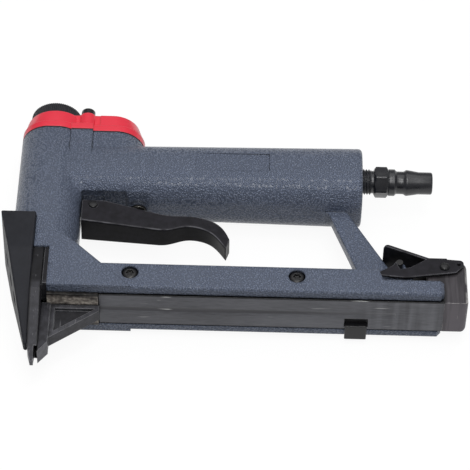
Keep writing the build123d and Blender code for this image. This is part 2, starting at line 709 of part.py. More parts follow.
def make_deflector():
    """The round exhaust deflector: fluted rim, hollow below, open on one side."""
    outline = Circle(DEFLECTOR_RADIUS)
    flute = Circle(DEFLECTOR_FLUTE_RADIUS)
    outline -= [place * flute for place in PolarLocations(DEFLECTOR_RADIUS, DEFLECTOR_FLUTES)]
    base = CAP_TOP + FACE_GAP
    top = base + DEFLECTOR_HEIGHT
    roof = top - DEFLECTOR_ROOF
    knob = upright(outline, (base, top))
    hollow = upright(Circle(DEFLECTOR_RADIUS - DEFLECTOR_WALL) - Circle(DEFLECTOR_HUB_RADIUS),
                     (base - OVERCUT, roof))
    window = block((-2 * DEFLECTOR_RADIUS, -DEFLECTOR_HUB_RADIUS), (base - OVERCUT, roof),
                   (-DEFLECTOR_WINDOW / 2, DEFLECTOR_WINDOW / 2))
    knob -= hollow
    knob -= window
    knob -= rod_y(DEFLECTOR_DISH_RADIUS, (top - DEFLECTOR_DISH_DEPTH, top + OVERCUT), 0)
    return knob - rod_y(M4_RADIUS + RUNNING_FIT, (base - OVERCUT, top), 0)


def make_deflector_screw():
    seat = CAP_TOP + FACE_GAP + DEFLECTOR_HEIGHT - DEFLECTOR_DISH_DEPTH + FACE_GAP
    shank = seat - CAP_POCKET_ROOF
    head = DEFLECTOR_DISH_DEPTH - 2 * FACE_GAP
    return along_y(socket_screw(M4_RADIUS, shank, M4_HEAD_RADIUS, head, M4_SOCKET), 0, seat)


# Drive
def make_sleeve():
    wall = Circle(SLEEVE_OUTER) - Circle(SLEEVE_INNER)
    sleeve = upright(wall, (BORE_FLOOR, SLEEVE_TOP))
    groove = Circle(BORE_RADIUS) - Circle(BORE_RADIUS - 2 * SEAL_WIRE - SEAT_FIT)
    for y in SEAL_HEIGHTS:
        half = SEAL_WIRE + FACE_GAP
        sleeve -= upright(groove, (y - half, y + half))
    return sleeve


def make_sleeve_seals():
    ring = Torus(BORE_RADIUS - SEAL_WIRE - SEAT_FIT / 2, SEAL_WIRE)
    return [along_y(ring, 0, y) for y in SEAL_HEIGHTS]


def driver_section(gap=0.0):
    return Rectangle(DRIVER_THICKNESS + 2 * gap, DRIVER_WIDTH + 2 * gap)


def make_bumper():
    ring = Circle(SLEEVE_INNER - FACE_GAP) - driver_section(3 * DRIVER_GAP)
    return upright(ring, (BORE_FLOOR, BUMPER_TOP))


def make_piston():
    radius = SLEEVE_INNER - PISTON_GAP
    piston = upright(Circle(radius), (PISTON_BASE, PISTON_TOP))
    middle = (PISTON_BASE + PISTON_TOP) / 2
    groove = Circle(SLEEVE_INNER) - Circle(SLEEVE_INNER - 2 * SEAL_WIRE - 2 * SEAT_FIT)
    piston -= upright(groove, (middle - SEAL_WIRE - SEAT_FIT, middle + SEAL_WIRE + SEAT_FIT))
    return piston - upright(driver_section(SEAT_FIT), (PISTON_BASE - OVERCUT, PISTON_BASE + DRIVER_ROOT))


def make_piston_seal():
    ring = Torus(SLEEVE_INNER - SEAL_WIRE - SEAT_FIT, SEAL_WIRE - SEAT_FIT)
    return along_y(ring, 0, (PISTON_BASE + PISTON_TOP) / 2)


def make_driver():
    return upright(driver_section(), (DRIVER_TIP, PISTON_BASE + DRIVER_ROOT))


def make_head_valve():
    base = SLEEVE_TOP + FACE_GAP
    disc_top = base + VALVE_DISC_HEIGHT
    valve = rod_y(VALVE_DISC_RADIUS, (base, disc_top), 0)
    stop = CAP_POCKET_ROOF - VALVE_TRAVEL - FACE_GAP
    return valve + rod_y(VALVE_SPIGOT_RADIUS, (disc_top, stop), 0)


def make_head_valve_spring():
    low = SLEEVE_TOP + FACE_GAP + VALVE_DISC_HEIGHT + VALVE_SPRING_WIRE + SEAT_FIT
    length = CAP_POCKET_ROOF - low - VALVE_SPRING_WIRE - SEAT_FIT
    return along_y(spring(VALVE_SPRING_RADIUS, VALVE_SPRING_WIRE, length, VALVE_SPRING_TURNS), 0, low)


# Trigger
def trigger_half_width(x):
    share = (x - TRIGGER_FRONT) / (TRIGGER_TIP_X - TRIGGER_FRONT)
    return (TRIGGER_ROOT_WIDTH + (TRIGGER_TIP_WIDTH - TRIGGER_ROOT_WIDTH) * share) / 2


def trigger_profile():
    """Side view: a deep straight channel that ends in a hooked finger pull."""
    rim = TRIGGER_PIN_Y + TRIGGER_RIM
    root_low = (TRIGGER_FRONT, TRIGGER_PIN_Y - TRIGGER_ROOT_DEPTH)
    bend_low = (TRIGGER_BEND_X, TRIGGER_PIN_Y - TRIGGER_BEND_DEPTH)
    root_high = (TRIGGER_FRONT, rim)
    bend_high = (TRIGGER_PIN_X + TRIGGER_RIM_LENGTH, rim)
    tip = (TRIGGER_TIP_X, TRIGGER_TIP_Y)
    back = (TRIGGER_TIP_X + TRIGGER_TIP_LEAN, TRIGGER_TIP_Y + TRIGGER_TIP_HEIGHT)
    waist = (TRIGGER_TIP_X - TRIGGER_WAIST, TRIGGER_TIP_Y + TRIGGER_WAIST_RISE)
    underside = Spline(
        bend_low,
        (TRIGGER_TIP_X - TRIGGER_ARCH_START, TRIGGER_TIP_Y + TRIGGER_ARCH_START_RISE),
        (TRIGGER_TIP_X - TRIGGER_ARCH_END, TRIGGER_TIP_Y + TRIGGER_ARCH_END_RISE),
        tip,
        tangents=[(1, -0.11), (0.62, -1)],
    )
    topside = Spline(
        back,
        (TRIGGER_TIP_X - TRIGGER_BACK_END, TRIGGER_TIP_Y + TRIGGER_BACK_END_RISE),
        (TRIGGER_TIP_X - TRIGGER_BACK_START, TRIGGER_TIP_Y + TRIGGER_BACK_START_RISE),
        waist,
        tangents=[(-0.35, 1), (bend_high[0] - waist[0], bend_high[1] - waist[1])],
    )
    outline = Line(root_low, bend_low) + underside + Line(tip, back) + topside
    outline += Polyline(waist, bend_high, root_high, root_low)
    return outline


def trigger_plan(inset):
    """Plan view: the channel narrows towards the finger pull."""
    rear = TRIGGER_TIP_X + TRIGGER_TIP_LEAN + OVERCUT
    front = TRIGGER_FRONT - OVERCUT
    near = trigger_half_width(front) - inset
    far = trigger_half_width(rear) - inset
    return make_face(Polyline((front, near), (rear, far), (rear, -far), (front, -near), close=True))


def trigger_folds(channel):
    """The long edges where the sides turn into the finger face."""
    under = channel.faces().filter_by(lambda face: face.normal_at().Y < -0.3)
    sides = channel.faces().filter_by(lambda face: abs(face.normal_at().Z) > 0.9)
    side_edges = sides.edges()
    return [edge for edge in under.edges() if edge in side_edges]


def make_trigger():
    deep = (TRIGGER_TIP_Y - TRIGGER_PIN_Y, 2 * HANDLE_AXIS)
    half = TRIGGER_ROOT_WIDTH
    solid = side_plate(trigger_profile(), (-half, half))
    channel = solid & upright(trigger_plan(0), deep)
    channel = fillet(trigger_folds(channel), TRIGGER_FOLD)
    hollow = Pos(0, TRIGGER_SHEET, 0) * solid & upright(trigger_plan(TRIGGER_SHEET), deep)
    above = Pos(0, TRIGGER_ROOT_WIDTH, 0) * hollow
    root = block((0, TRIGGER_PIN_X), (0, HEAD_TOP), (-half, half))
    front_open = Pos(-TRIGGER_SHEET, 0, 0) * hollow & root
    channel = channel - hollow - above - front_open
    return channel - rod_z(TRIGGER_PIN_RADIUS + RUNNING_FIT, (-half, half), TRIGGER_PIN_X, TRIGGER_PIN_Y)


def make_trigger_pin():
    half = trigger_half_width(TRIGGER_PIN_X) + SLIDE_GAP
    return rod_z(TRIGGER_PIN_RADIUS, (-half, half), TRIGGER_PIN_X, TRIGGER_PIN_Y)


def trigger_floor(x):
    """Height of the trigger's inner floor ahead of the finger pull."""
    slope = (TRIGGER_ROOT_DEPTH - TRIGGER_BEND_DEPTH) / (TRIGGER_BEND_X - TRIGGER_FRONT)
    return TRIGGER_PIN_Y - TRIGGER_ROOT_DEPTH + slope * (x - TRIGGER_FRONT) + TRIGGER_SHEET


def make_valve_body():
    body = rod_y(VALVE_BODY_RADIUS, (VALVE_BODY_LOW, VALVE_BODY_HIGH), STEM_X)
    body += rod_y(VALVE_BODY_FLANGE, (VALVE_BODY_LOW, VALVE_BOSS_LOW), STEM_X)
    bore = (VALVE_BODY_LOW - OVERCUT, VALVE_BODY_HIGH + OVERCUT)
    return body - rod_y(STEM_RADIUS + RUNNING_FIT, bore, STEM_X)


def make_valve_stem():
    head_low = VALVE_BODY_HIGH + FACE_GAP
    stem = rod_y(STEM_RADIUS, (trigger_floor(STEM_X) + STEM_GAP, head_low), STEM_X)
    return stem + rod_y(STEM_HEAD_RADIUS, (head_low, head_low + STEM_HEAD_HEIGHT), STEM_X)


def make_valve_spring():
    """The stem's return spring, which bears on the roof of the air chamber."""
    low = VALVE_BODY_HIGH + FACE_GAP + STEM_HEAD_HEIGHT + STEM_SPRING_WIRE + SEAT_FIT
    outside = STEM_SPRING_RADIUS + STEM_SPRING_WIRE
    roof = HANDLE_AXIS + sqrt(CHAMBER_RADIUS ** 2 - outside ** 2)
    length = roof - STEM_SPRING_WIRE - SEAT_FIT - low
    return along_y(spring(STEM_SPRING_RADIUS, STEM_SPRING_WIRE, length, STEM_SPRING_TURNS), STEM_X, low)


# Air plug
def make_air_plug():
    hex_start = PLUG_START + PLUG_NECK
    hex_end = hex_start + PLUG_HEX_LENGTH
    groove = hex_end + PLUG_COLLAR
    shoulder = groove + PLUG_GROOVE
    taper = shoulder + PLUG_SHOULDER
    tip = taper + PLUG_TAPER
    end = tip + PLUG_TIP
    root = HANDLE_END - CHAMBER_END_WALL + FACE_GAP
    profile = Polyline(
        (root, 0), (root, PLUG_THREAD_RADIUS), (PLUG_START, PLUG_THREAD_RADIUS),
        (PLUG_START, PLUG_NECK_RADIUS), (hex_end, PLUG_NECK_RADIUS),
        (hex_end, PLUG_COLLAR_RADIUS), (groove, PLUG_COLLAR_RADIUS),
        (groove, PLUG_GROOVE_RADIUS), (shoulder, PLUG_GROOVE_RADIUS),
        (shoulder + PLUG_SHOULDER, PLUG_SHOULDER_RADIUS), (tip, PLUG_TIP_RADIUS),
        (end - PLUG_EDGE, PLUG_TIP_RADIUS), (end, PLUG_TIP_RADIUS - PLUG_EDGE), (end, 0),
        close=True,
    )
    plug = Pos(0, PLUG_AXIS, 0) * revolve(make_face(profile), Axis.X)
    hexagon = Rot(0, 0, PLUG_HEX_TURN) * RegularPolygon(PLUG_HEX / 2, 6, major_radius=False)
    plug += lengthwise(Pos(PLUG_AXIS, 0) * hexagon, (hex_start, hex_end))
    return plug - rod_x(PLUG_BORE, (root - OVERCUT, end + OVERCUT), PLUG_AXIS)


# Nose
def shield(top, shoulder, tip, width, tip_width):
    """Front view of a plate with upright sides that taper to a narrow tip."""
    half = width / 2
    point = tip_width / 2
    corners = [(top, half), (shoulder, half), (tip, point), (tip, -point), (shoulder, -half), (top, -half)]
    return make_face(Polyline(*corners, close=True))


def wedge_front_at(y):
    share = (WEDGE_TOP - y) / (WEDGE_TOP - WEDGE_TIP_Y)
    return WEDGE_FRONT + (WEDGE_LENGTH - WEDGE_TIP_LENGTH) * share


def make_wedge():
    """The guide block that the frame is set against, a solid wedge in both views."""
    side = Polyline(
        (WEDGE_FRONT, WEDGE_TOP),
        (WEDGE_REAR, WEDGE_TOP),
        (WEDGE_REAR, WEDGE_TIP_Y),
        (wedge_front_at(WEDGE_TIP_Y), WEDGE_TIP_Y),
        close=True,
    )
    wedge = side_plate(side, (-WEDGE_WIDTH / 2, WEDGE_WIDTH / 2))
    front = shield(WEDGE_TOP, WEDGE_CREASE, WEDGE_TIP_Y, WEDGE_WIDTH, WEDGE_TIP_WIDTH)
    wedge &= lengthwise(front, (WEDGE_FRONT, WEDGE_REAR))
    wedge = chamfer(wedge.edges(), WEDGE_EDGE)
    for y in wedge_screw_heights():
        seat = wedge_front_at(y) + 2 * WEDGE_SCREW_HEAD
        wedge -= rod_x(M4_HEAD_RADIUS + FACE_GAP, (WEDGE_FRONT - OVERCUT, seat), y)
        wedge -= rod_x(M4_RADIUS + SEAT_FIT, (seat - OVERCUT, WEDGE_REAR + OVERCUT), y)
    return wedge


def make_wedge_screws():
    screws = []
    for y in wedge_screw_heights():
        seat = wedge_front_at(y) + 2 * WEDGE_SCREW_HEAD
        shank = -DRIVER_SLOT_LENGTH / 2 - FACE_GAP - seat
        screw = socket_screw(M4_RADIUS, shank, M4_HEAD_RADIUS, WEDGE_SCREW_HEAD, M4_SOCKET)
        screws.append(Pos(seat, y, 0) * Rot(0, -90, 0) * screw)
    return screws


def make_front_plate():
    side = Polyline(
        (FRONT_PLATE_FRONT, NOSE_TOP),
        (FRONT_PLATE_REAR, NOSE_TOP),
        (FRONT_PLATE_REAR, NOSE_TIP),
        (-GROOVE_HALF - FRONT_PLATE_TIP, NOSE_TIP),
        (FRONT_PLATE_FRONT, FRONT_PLATE_BEVEL),
        close=True,
    )
    half = FRONT_PLATE_WIDTH / 2
    plate = side_plate(side, (-half, half))
    front = shield(NOSE_TOP, FRONT_PLATE_SHOULDER, NOSE_TIP, FRONT_PLATE_WIDTH, FRONT_PLATE_TIP_WIDTH)
    plate &= lengthwise(front, (FRONT_PLATE_FRONT, FRONT_PLATE_REAR))
    groove = DRIVER_WIDTH / 2 + DRIVER_GAP
    outside = FRONT_PLATE_FRONT - OVERCUT
    behind = FRONT_PLATE_REAR + OVERCUT
    plate -= block((-GROOVE_HALF, behind), (0, NOSE_TOP + OVERCUT), (-groove, groove))
    for y in wedge_screw_heights():
        plate -= rod_x(M4_RADIUS + SEAT_FIT, (outside, 0), y)
    for y, z in plate_screw_places():
        plate -= rod_x(M3_RADIUS + SEAT_FIT, (outside, behind), y, z)
        plate -= rod_x(M3_HEAD_RADIUS + FACE_GAP, (outside, plate_screw_seat()), y, z)
    return plate


def plate_screw_seat():
    return FRONT_PLATE_FRONT + FRONT_PLATE / 2


def make_rear_plate():
    half = FRONT_PLATE_WIDTH / 2
    plate = block((FRONT_PLATE_REAR, REAR_PLATE_REAR), (REAR_PLATE_BASE, NOSE_TOP), (-half, half))
    seam = (FRONT_PLATE_REAR - OVERCUT, FRONT_PLATE_REAR + PLATE_SEAM)
    for z in mirrored(half - PLATE_SEAM_DEPTH, half + OVERCUT):
        plate -= block(seam, (REAR_PLATE_BASE - OVERCUT, NOSE_TOP + OVERCUT), z)
    nail_slot = (REAR_PLATE_BASE - OVERCUT, DRIVER_TIP)
    plate -= block((0, NOSE_SEAT + OVERCUT), nail_slot, (-SLOT_HALF, SLOT_HALF))
    for y, z in plate_screw_places():
        plate -= rod_x(M3_RADIUS + SEAT_FIT, (0, NOSE_SEAT + OVERCUT), y, z)
    return plate


def make_plate_screws():
    seat = plate_screw_seat()
    shank = NOSE_SEAT + PLATE_SCREW_REACH - seat
    screw = socket_screw(M3_RADIUS, shank, M3_HEAD_RADIUS, FRONT_PLATE / 2 - FACE_GAP, M3_SOCKET)
    return [Pos(seat, y, z) * Rot(0, -90, 0) * screw for y, z in plate_screw_places()]


def make_bracket():
    """The upright nose guide with its pocketed triangular foot under the magazine."""
    front = FRONT_PLATE_REAR
    rear = front + BRACKET_THICKNESS
    heel_x = rear + FOOT_LENGTH
    top = SHOE_BASE
    half = BRACKET_WIDTH / 2
    upright_plate = Polyline(
        (front, top), (rear, top), (rear, BRACKET_TIP_REAR), (front, BRACKET_TIP_FRONT), close=True,
    )
    bracket = side_plate(upright_plate, (-half, half))
    foot = Polyline((rear, top), (heel_x, top), (heel_x, top - FOOT_HEEL), (rear, FOOT_ROOT), close=True)
    bracket += side_plate(foot, (-FOOT_WIDTH / 2, FOOT_WIDTH / 2))
    pocket = offset(make_face(foot), -FOOT_RIM)
    for z in mirrored(FOOT_WIDTH / 2 - FOOT_POCKET, half):
        bracket -= Pos(0, 0, z[0]) * extrude(pocket, z[1] - z[0])
    return bracket


# Nail rail and sliding magazine
def make_nail_rail():
    """The fixed rail: a front shoe, then shoulders and a tongue that the magazine slides on."""
    shoe_end = NOSE_SEAT + SHOE_LENGTH
    half = NAIL_RAIL_WIDTH / 2
    tongue = TONGUE_WIDTH / 2
    rail = block((NOSE_SEAT, shoe_end), (SHOE_BASE, ROOF_BASE), (-half, half))
    rail += block((shoe_end, NAIL_RAIL_END), (SHOULDER_BASE, ROOF_BASE), (-half, half))
    rail += block((shoe_end, NAIL_RAIL_END), (TONGUE_BASE, SHOULDER_BASE), (-tongue, tongue))
    rail -= block((0, BLOCK_REAR), (0, SLOT_TOP), (-SLOT_HALF, SLOT_HALF))
    for x in RAIL_SCREW_X:
        rail -= rod_z(M4_RADIUS + SEAT_FIT, (-half - OVERCUT, half + OVERCUT), x, RAIL_SCREW_Y)
    return rail


def make_rail_screws():
    seat = RAIL_WIDTH / 2 - RAIL_SCREW_SINK
    shank = seat - RAIL_SCREW_TIP
    head = socket_screw(M4_RADIUS, shank, RAIL_SCREW_HEAD_RADIUS, RAIL_SCREW_HEAD_HEIGHT, M4_SOCKET)
    screws = []
    for x in RAIL_SCREW_X:
        screws.append(Pos(x, RAIL_SCREW_Y, seat) * head)
        screws.append(Pos(x, RAIL_SCREW_Y, -seat) * Rot(180, 0, 0) * head)
    return screws


def round_base(body):
    """Rounds the two long edges under the magazine."""
    lowest = body.faces().sort_by(Axis.Y)[0]
    return fillet(lowest.edges().filter_by(Axis.X), CHANNEL_BEND)


def make_channel():
    """The sheet steel channel that covers the nails, with a bead pressed along it."""
    x = (CHANNEL_FRONT, RAIL_END + SLIDE_GAP)
    half = CHANNEL_WIDTH / 2
    channel = round_base(block(x, (CHANNEL_BASE, CHANNEL_TOP), (-half, half)))
    hollow = (CHANNEL_BASE + CHANNEL_SHEET, CHANNEL_TOP + OVERCUT)
    channel -= block((x[0] - OVERCUT, x[1] + OVERCUT), hollow, (-CHANNEL_INNER, CHANNEL_INNER))
    bead_x = (x[0] - OVERCUT, x[1] - 2 * BLOCK_LENGTH)
    channel -= rod_x(BEAD_RADIUS, bead_x, CHANNEL_BASE + BEAD_DEPTH - BEAD_RADIUS)
    window_x = (CLIP_X - CLIP_WINDOW_GAP, CLIP_X + CLIP_LENGTH + CLIP_WINDOW_GAP)
    window_z = (-CLIP_INNER - CLIP_SHEET - CLIP_WINDOW_GAP, -CLIP_INNER + CLIP_WINDOW_WIDTH)
    return channel - block(window_x, (0, TONGUE_BASE), window_z)


def make_end_block():
    half = BLOCK_WIDTH / 2
    low_front = RAIL_END + SLIDE_GAP
    outline = Polyline(
        (low_front, CHANNEL_BASE),
        (BLOCK_REAR, CHANNEL_BASE),
        (BLOCK_REAR, BLOCK_LIP_TOP),
        (BLOCK_LIP_FRONT, BLOCK_LIP_TOP),
        (BLOCK_LIP_FRONT, BLOCK_TOP),
        (BLOCK_FRONT, BLOCK_TOP),
        (BLOCK_FRONT, CHANNEL_TOP),
        (low_front, CHANNEL_TOP),
        close=True,
    )
    body = round_base(side_plate(outline, (-half, half)))
    back = body.faces().sort_by(Axis.X)[-1]
    body = fillet(back.edges(), BLOCK_CORNER)
    slot = (BLOCK_SLOT_FLOOR, BLOCK_TOP + OVERCUT)
    slot_half = BLOCK_SLOT_WIDTH / 2
    body -= block((BLOCK_FRONT - OVERCUT, BLOCK_LIP_FRONT), slot, (-slot_half, slot_half))
    body -= rod_z(LATCH_PIN_RADIUS + SEAT_FIT, (-HEAD_WIDTH, HEAD_WIDTH), LATCH_PIVOT_X, LATCH_PIVOT_Y)
    return body - rod_x(ROD_RADIUS + SEAT_FIT, (BLOCK_FRONT - OVERCUT, BLOCK_FRONT + ROD_SOCKET), ROD_Y)


def make_guide_rod():
    return rod_x(ROD_RADIUS, (ROD_FRONT, BLOCK_FRONT + ROD_SOCKET), ROD_Y)


def make_pusher():
    half = SLOT_HALF - SLIDE_GAP
    x = (ROD_FRONT, ROD_FRONT + PUSHER_LENGTH)
    body = block(x, (TONGUE_BASE + PUSHER_TOP_GAP, SLOT_TOP - PUSHER_TOP_GAP), (-half, half))
    return body - rod_x(ROD_RADIUS + RUNNING_FIT, (x[0] - OVERCUT, x[1] + OVERCUT), ROD_Y)


def make_pusher_spring():
    low = ROD_FRONT + PUSHER_LENGTH + SPRING_WIRE + SEAT_FIT
    length = BLOCK_FRONT - SPRING_WIRE - SEAT_FIT - low
    return along_x(spring(SPRING_RADIUS, SPRING_WIRE, length, SPRING_TURNS), low, ROD_Y)


def make_stop_clip():
    """The black stop tab: hooked up into the channel's window, lying out under the right wall."""
    x = (CLIP_X, CLIP_X + CLIP_LENGTH)
    tab = block(x, (CHANNEL_BASE - CLIP_SHEET, CHANNEL_BASE), (-CLIP_REACH, -CLIP_INNER))
    hook = (-CLIP_INNER - CLIP_SHEET, -CLIP_INNER)
    return tab + block(x, (CHANNEL_BASE - CLIP_SHEET, CHANNEL_BASE + CHANNEL_SHEET - SEAT_FIT), hook)


# Latch
def latch_cheek():
    """Side view of a cheek: round tail at the pivot, straight belly, and a nose with an open hook."""
    tail = LATCH_PIVOT_X + LATCH_TAIL
    nose = KEEPER_X - LATCH_NOSE
    nose_low = KEEPER_Y - LATCH_NOSE_DEPTH
    tail_top = (tail, LATCH_TOP - LATCH_TAIL_DROP)
    nose_corners = [(nose, nose_low + LATCH_NOSE_HEIGHT), (nose, nose_low)]
    face = make_face(Polyline(
        (LATCH_PIVOT_X + LATCH_HEEL, LATCH_PIVOT_Y - LATCH_HEEL_DEPTH),
        (tail, LATCH_PIVOT_Y + LATCH_TAIL_RISE),
        tail_top,
        (LATCH_FLAP_X, LATCH_TOP),
        (KEEPER_X + LATCH_THROAT_END, KEEPER_Y - LATCH_THROAT_END_DEPTH),
        (KEEPER_X, KEEPER_Y - LATCH_THROAT_DEPTH),
        (KEEPER_X - LATCH_HOOK_TIP, KEEPER_Y - LATCH_HOOK_TIP_DEPTH),
        (KEEPER_X - LATCH_HOOK_FOOT, KEEPER_Y - LATCH_HOOK_FOOT_DEPTH),
        *nose_corners,
        (KEEPER_X + LATCH_BELLY_X, KEEPER_Y - LATCH_BELLY_DEPTH),
        close=True,
    ))
    for places, radius in (([tail_top], LATCH_TAIL_ROUND), (nose_corners, LATCH_NOSE_ROUND)):
        corners = [face.vertices().sort_by_distance((x, y, 0))[0] for x, y in places]
        face = fillet(corners, radius)
    face -= Pos(LATCH_PIVOT_X, LATCH_PIVOT_Y) * Circle(LATCH_PIN_RADIUS + RUNNING_FIT)
    eye = Pos(LATCH_PIVOT_X + LATCH_EYE_X, LATCH_PIVOT_Y + LATCH_EYE_Y)
    return face - eye * Circle(LATCH_EYE_RADIUS)


def make_latch():
    """A bent sheet lever: two hooked cheeks, the plate between them and the thumb flap."""
    wide = (-LATCH_OUTER, LATCH_OUTER)
    latch = block((LATCH_FLAP_X, LATCH_PIVOT_X + LATCH_PLATE_REAR), (LATCH_PLATE_LOW, LATCH_TOP), wide)
    tip = brace_rear(LATCH_FLAP_TIP_Y) + LATCH_FLAP_GAP
    flap = Polyline(
        (LATCH_FLAP_X, LATCH_PLATE_LOW),
        (LATCH_FLAP_X, LATCH_TOP),
        (tip, LATCH_FLAP_TIP_Y),
        (tip - LATCH_SHEET / 2, LATCH_FLAP_TIP_Y - LATCH_SHEET),
        close=True,
    )
    thumb_flap = side_plate(flap, wide)
    corners = thumb_flap.edges().filter_by(lambda edge: edge.length < 2 * LATCH_SHEET).sort_by(Axis.X)[:2]
    latch += fillet(corners, LATCH_FLAP_ROUND)
    for z in mirrored(LATCH_INNER, LATCH_OUTER):
        latch += Pos(0, 0, z[0]) * extrude(latch_cheek(), LATCH_SHEET)
    return latch


def make_latch_pin():
    outer = LATCH_OUTER + FACE_GAP
    pin = rod_z(LATCH_PIN_RADIUS, (-outer, outer), LATCH_PIVOT_X, LATCH_PIVOT_Y)
    for z in mirrored(outer, outer + RIVET_HEAD_HEIGHT):
        pin += rod_z(RIVET_HEAD_RADIUS, z, LATCH_PIVOT_X, LATCH_PIVOT_Y)
    return pin


def make_latch_spring():
    """A leaf that stands in the block's slot and presses up under the latch's plate."""
    root = BLOCK_SLOT_FLOOR
    tip_y = LATCH_PLATE_LOW - FACE_GAP
    tip_x = BLOCK_FRONT + OVERCUT
    bend_x = LATCH_PIVOT_X + LATCH_PIN_RADIUS + OVERCUT
    low = root + LEAF_SHEET
    outline = Polyline(
        (bend_x, root), (bend_x, low), (tip_x + 2 * LEAF_BEND, low), (tip_x + LEAF_SHEET, tip_y),
        (tip_x, tip_y), (tip_x + LEAF_BEND, root), close=True,
    )
    return side_plate(outline, (-LEAF_WIDTH / 2, LEAF_WIDTH / 2))


def make_keeper_pin():
    half = LATCH_INNER - SLIDE_GAP
    return rod_z(KEEPER_RADIUS, (-half, half), KEEPER_X, KEEPER_Y)


# Assembly
PIECES = {
    "body_casting": make_casting,
    "top_cap": make_cap,
    "cap_gasket": make_gasket,
    "cap_screws": make_cap_screws,
    "exhaust_deflector": make_deflector,
    "deflector_screw": make_deflector_screw,
    "cylinder_sleeve": make_sleeve,
    "cylinder_seals": make_sleeve_seals,
    "piston": make_piston,
    "piston_seal": make_piston_seal,
    "driver_blade": make_driver,
    "bumper": make_bumper,
    "head_valve": make_head_valve,
    "head_valve_spring": make_head_valve_spring,
    "trigger": make_trigger,
    "trigger_pin": make_trigger_pin,
    "trigger_valve_body": make_valve_body,
    "trigger_valve_stem": make_valve_stem,
    "trigger_valve_spring": make_valve_spring,
    "air_plug": make_air_plug,
    "front_wedge": make_wedge,
    "wedge_screws": make_wedge_screws,
    "nose_front_plate": make_front_plate,
    "nose_rear_plate": make_rear_plate,
    "nose_plate_screws": make_plate_screws,
    "nose_bracket": make_bracket,
    "nail_rail": make_nail_rail,
    "rail_screws": make_rail_screws,
    "magazine_channel": make_channel,
    "magazine_end_block": make_end_block,
    "stop_clip": make_stop_clip,
    "guide_rod": make_guide_rod,
    "pusher": make_pusher,
    "pusher_spring": make_pusher_spring,
    "latch_lever": make_latch,
    "latch_pin": make_latch_pin,
    "latch_spring": make_latch_spring,
    "keeper_pin": make_keeper_pin,
}

# The tool lies on its right side: its origin is on the surface, under the middle of its box.
TOOL_TOP = CAP_TOP + FACE_GAP + DEFLECTOR_HEIGHT
TO_ROW = Pos(-(WEDGE_FRONT + BLOCK_REAR) / 2, -(NOSE_TIP + TOOL_TOP) / 2, WEDGE_WIDTH / 2)


def placed(piece):
    """Moves one piece, or a group of like pieces, into the row's frame."""
    if isinstance(piece, list):
        return Compound(children=[TO_ROW * solid for solid in piece])
    return TO_ROW * piece


if __name__ == "__main__":
    os.makedirs("parts", exist_ok=True)
    for name, make in PIECES.items():
        export_step(placed(make()), f"parts/{name}.step")
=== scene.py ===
import json
from math import cos, pi, radians, sin, sqrt

import bmesh
import bpy
from mathutils import Matrix, Vector


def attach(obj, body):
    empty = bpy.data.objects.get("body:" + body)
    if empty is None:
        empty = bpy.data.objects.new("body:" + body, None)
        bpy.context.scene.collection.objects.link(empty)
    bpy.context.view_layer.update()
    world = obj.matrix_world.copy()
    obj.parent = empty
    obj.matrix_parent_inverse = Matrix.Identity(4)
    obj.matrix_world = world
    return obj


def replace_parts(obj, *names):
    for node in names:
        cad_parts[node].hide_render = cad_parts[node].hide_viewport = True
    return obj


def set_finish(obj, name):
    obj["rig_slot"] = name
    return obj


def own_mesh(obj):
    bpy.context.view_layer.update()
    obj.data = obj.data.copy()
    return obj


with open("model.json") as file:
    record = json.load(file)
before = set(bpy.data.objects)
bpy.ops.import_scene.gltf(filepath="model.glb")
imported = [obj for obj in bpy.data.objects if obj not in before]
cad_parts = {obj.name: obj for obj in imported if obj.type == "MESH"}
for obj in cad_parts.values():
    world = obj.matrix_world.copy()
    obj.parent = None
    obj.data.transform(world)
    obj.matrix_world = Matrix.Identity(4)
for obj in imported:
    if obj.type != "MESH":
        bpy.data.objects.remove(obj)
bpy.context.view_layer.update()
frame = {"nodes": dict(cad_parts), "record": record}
nodes = frame["nodes"]

# Sizes and places are millimetres in the tool's own frame: X runs back from the drive line, Y up from the
# nose and Z out of the left side. The row frame is the one that the CAD nodes share, in metres.
MM = 0.001
ROW_SHIFT = Vector((-92.225, -83.1, 20.0))

# Camera, fitted to the photograph, with its aim and distance in millimetres of the row frame
LENS = 191.49
SENSOR = 36.0
AIM = (0.825, 4.3, 20.0)
DISTANCE = 1237.6
ELEVATION = radians(47.2)
ROLL = radians(1.45)
CLIP_START = 0.05
CLIP_END = 20.0

# Lights: name, place and size in metres, power in watts
LIGHT_TARGET = (0, 0, 0.02)
LIGHTS = (
    ("overhead_softbox", (0.0, 0.5, 1.1), (1.2, 0.9), 3.8),
    ("front_softbox", (0.05, -0.52, 1.15), (0.9, 0.6), 3.9),
    ("front_lamp", (0.03, -0.68, 1.08), (0.3, 0.3), 2.0),
    ("top_lamp", (0.06, -0.1, 1.25), (0.6, 0.22), 2.9),
)
SKY_STRENGTH = 0.33

# Floor: its half size in metres, how far it lies under the tool, and its tones to light and to the camera
FLOOR_HALF = 3.0
FLOOR_DROP = 0.2
FLOOR_GREY = 0.2
FLOOR_SHADED_GREY = 0.1
FLOOR_GLOW = 0.92

# Lathe forms: each ring is its distance along the axis from a named place and its step in from a named radius

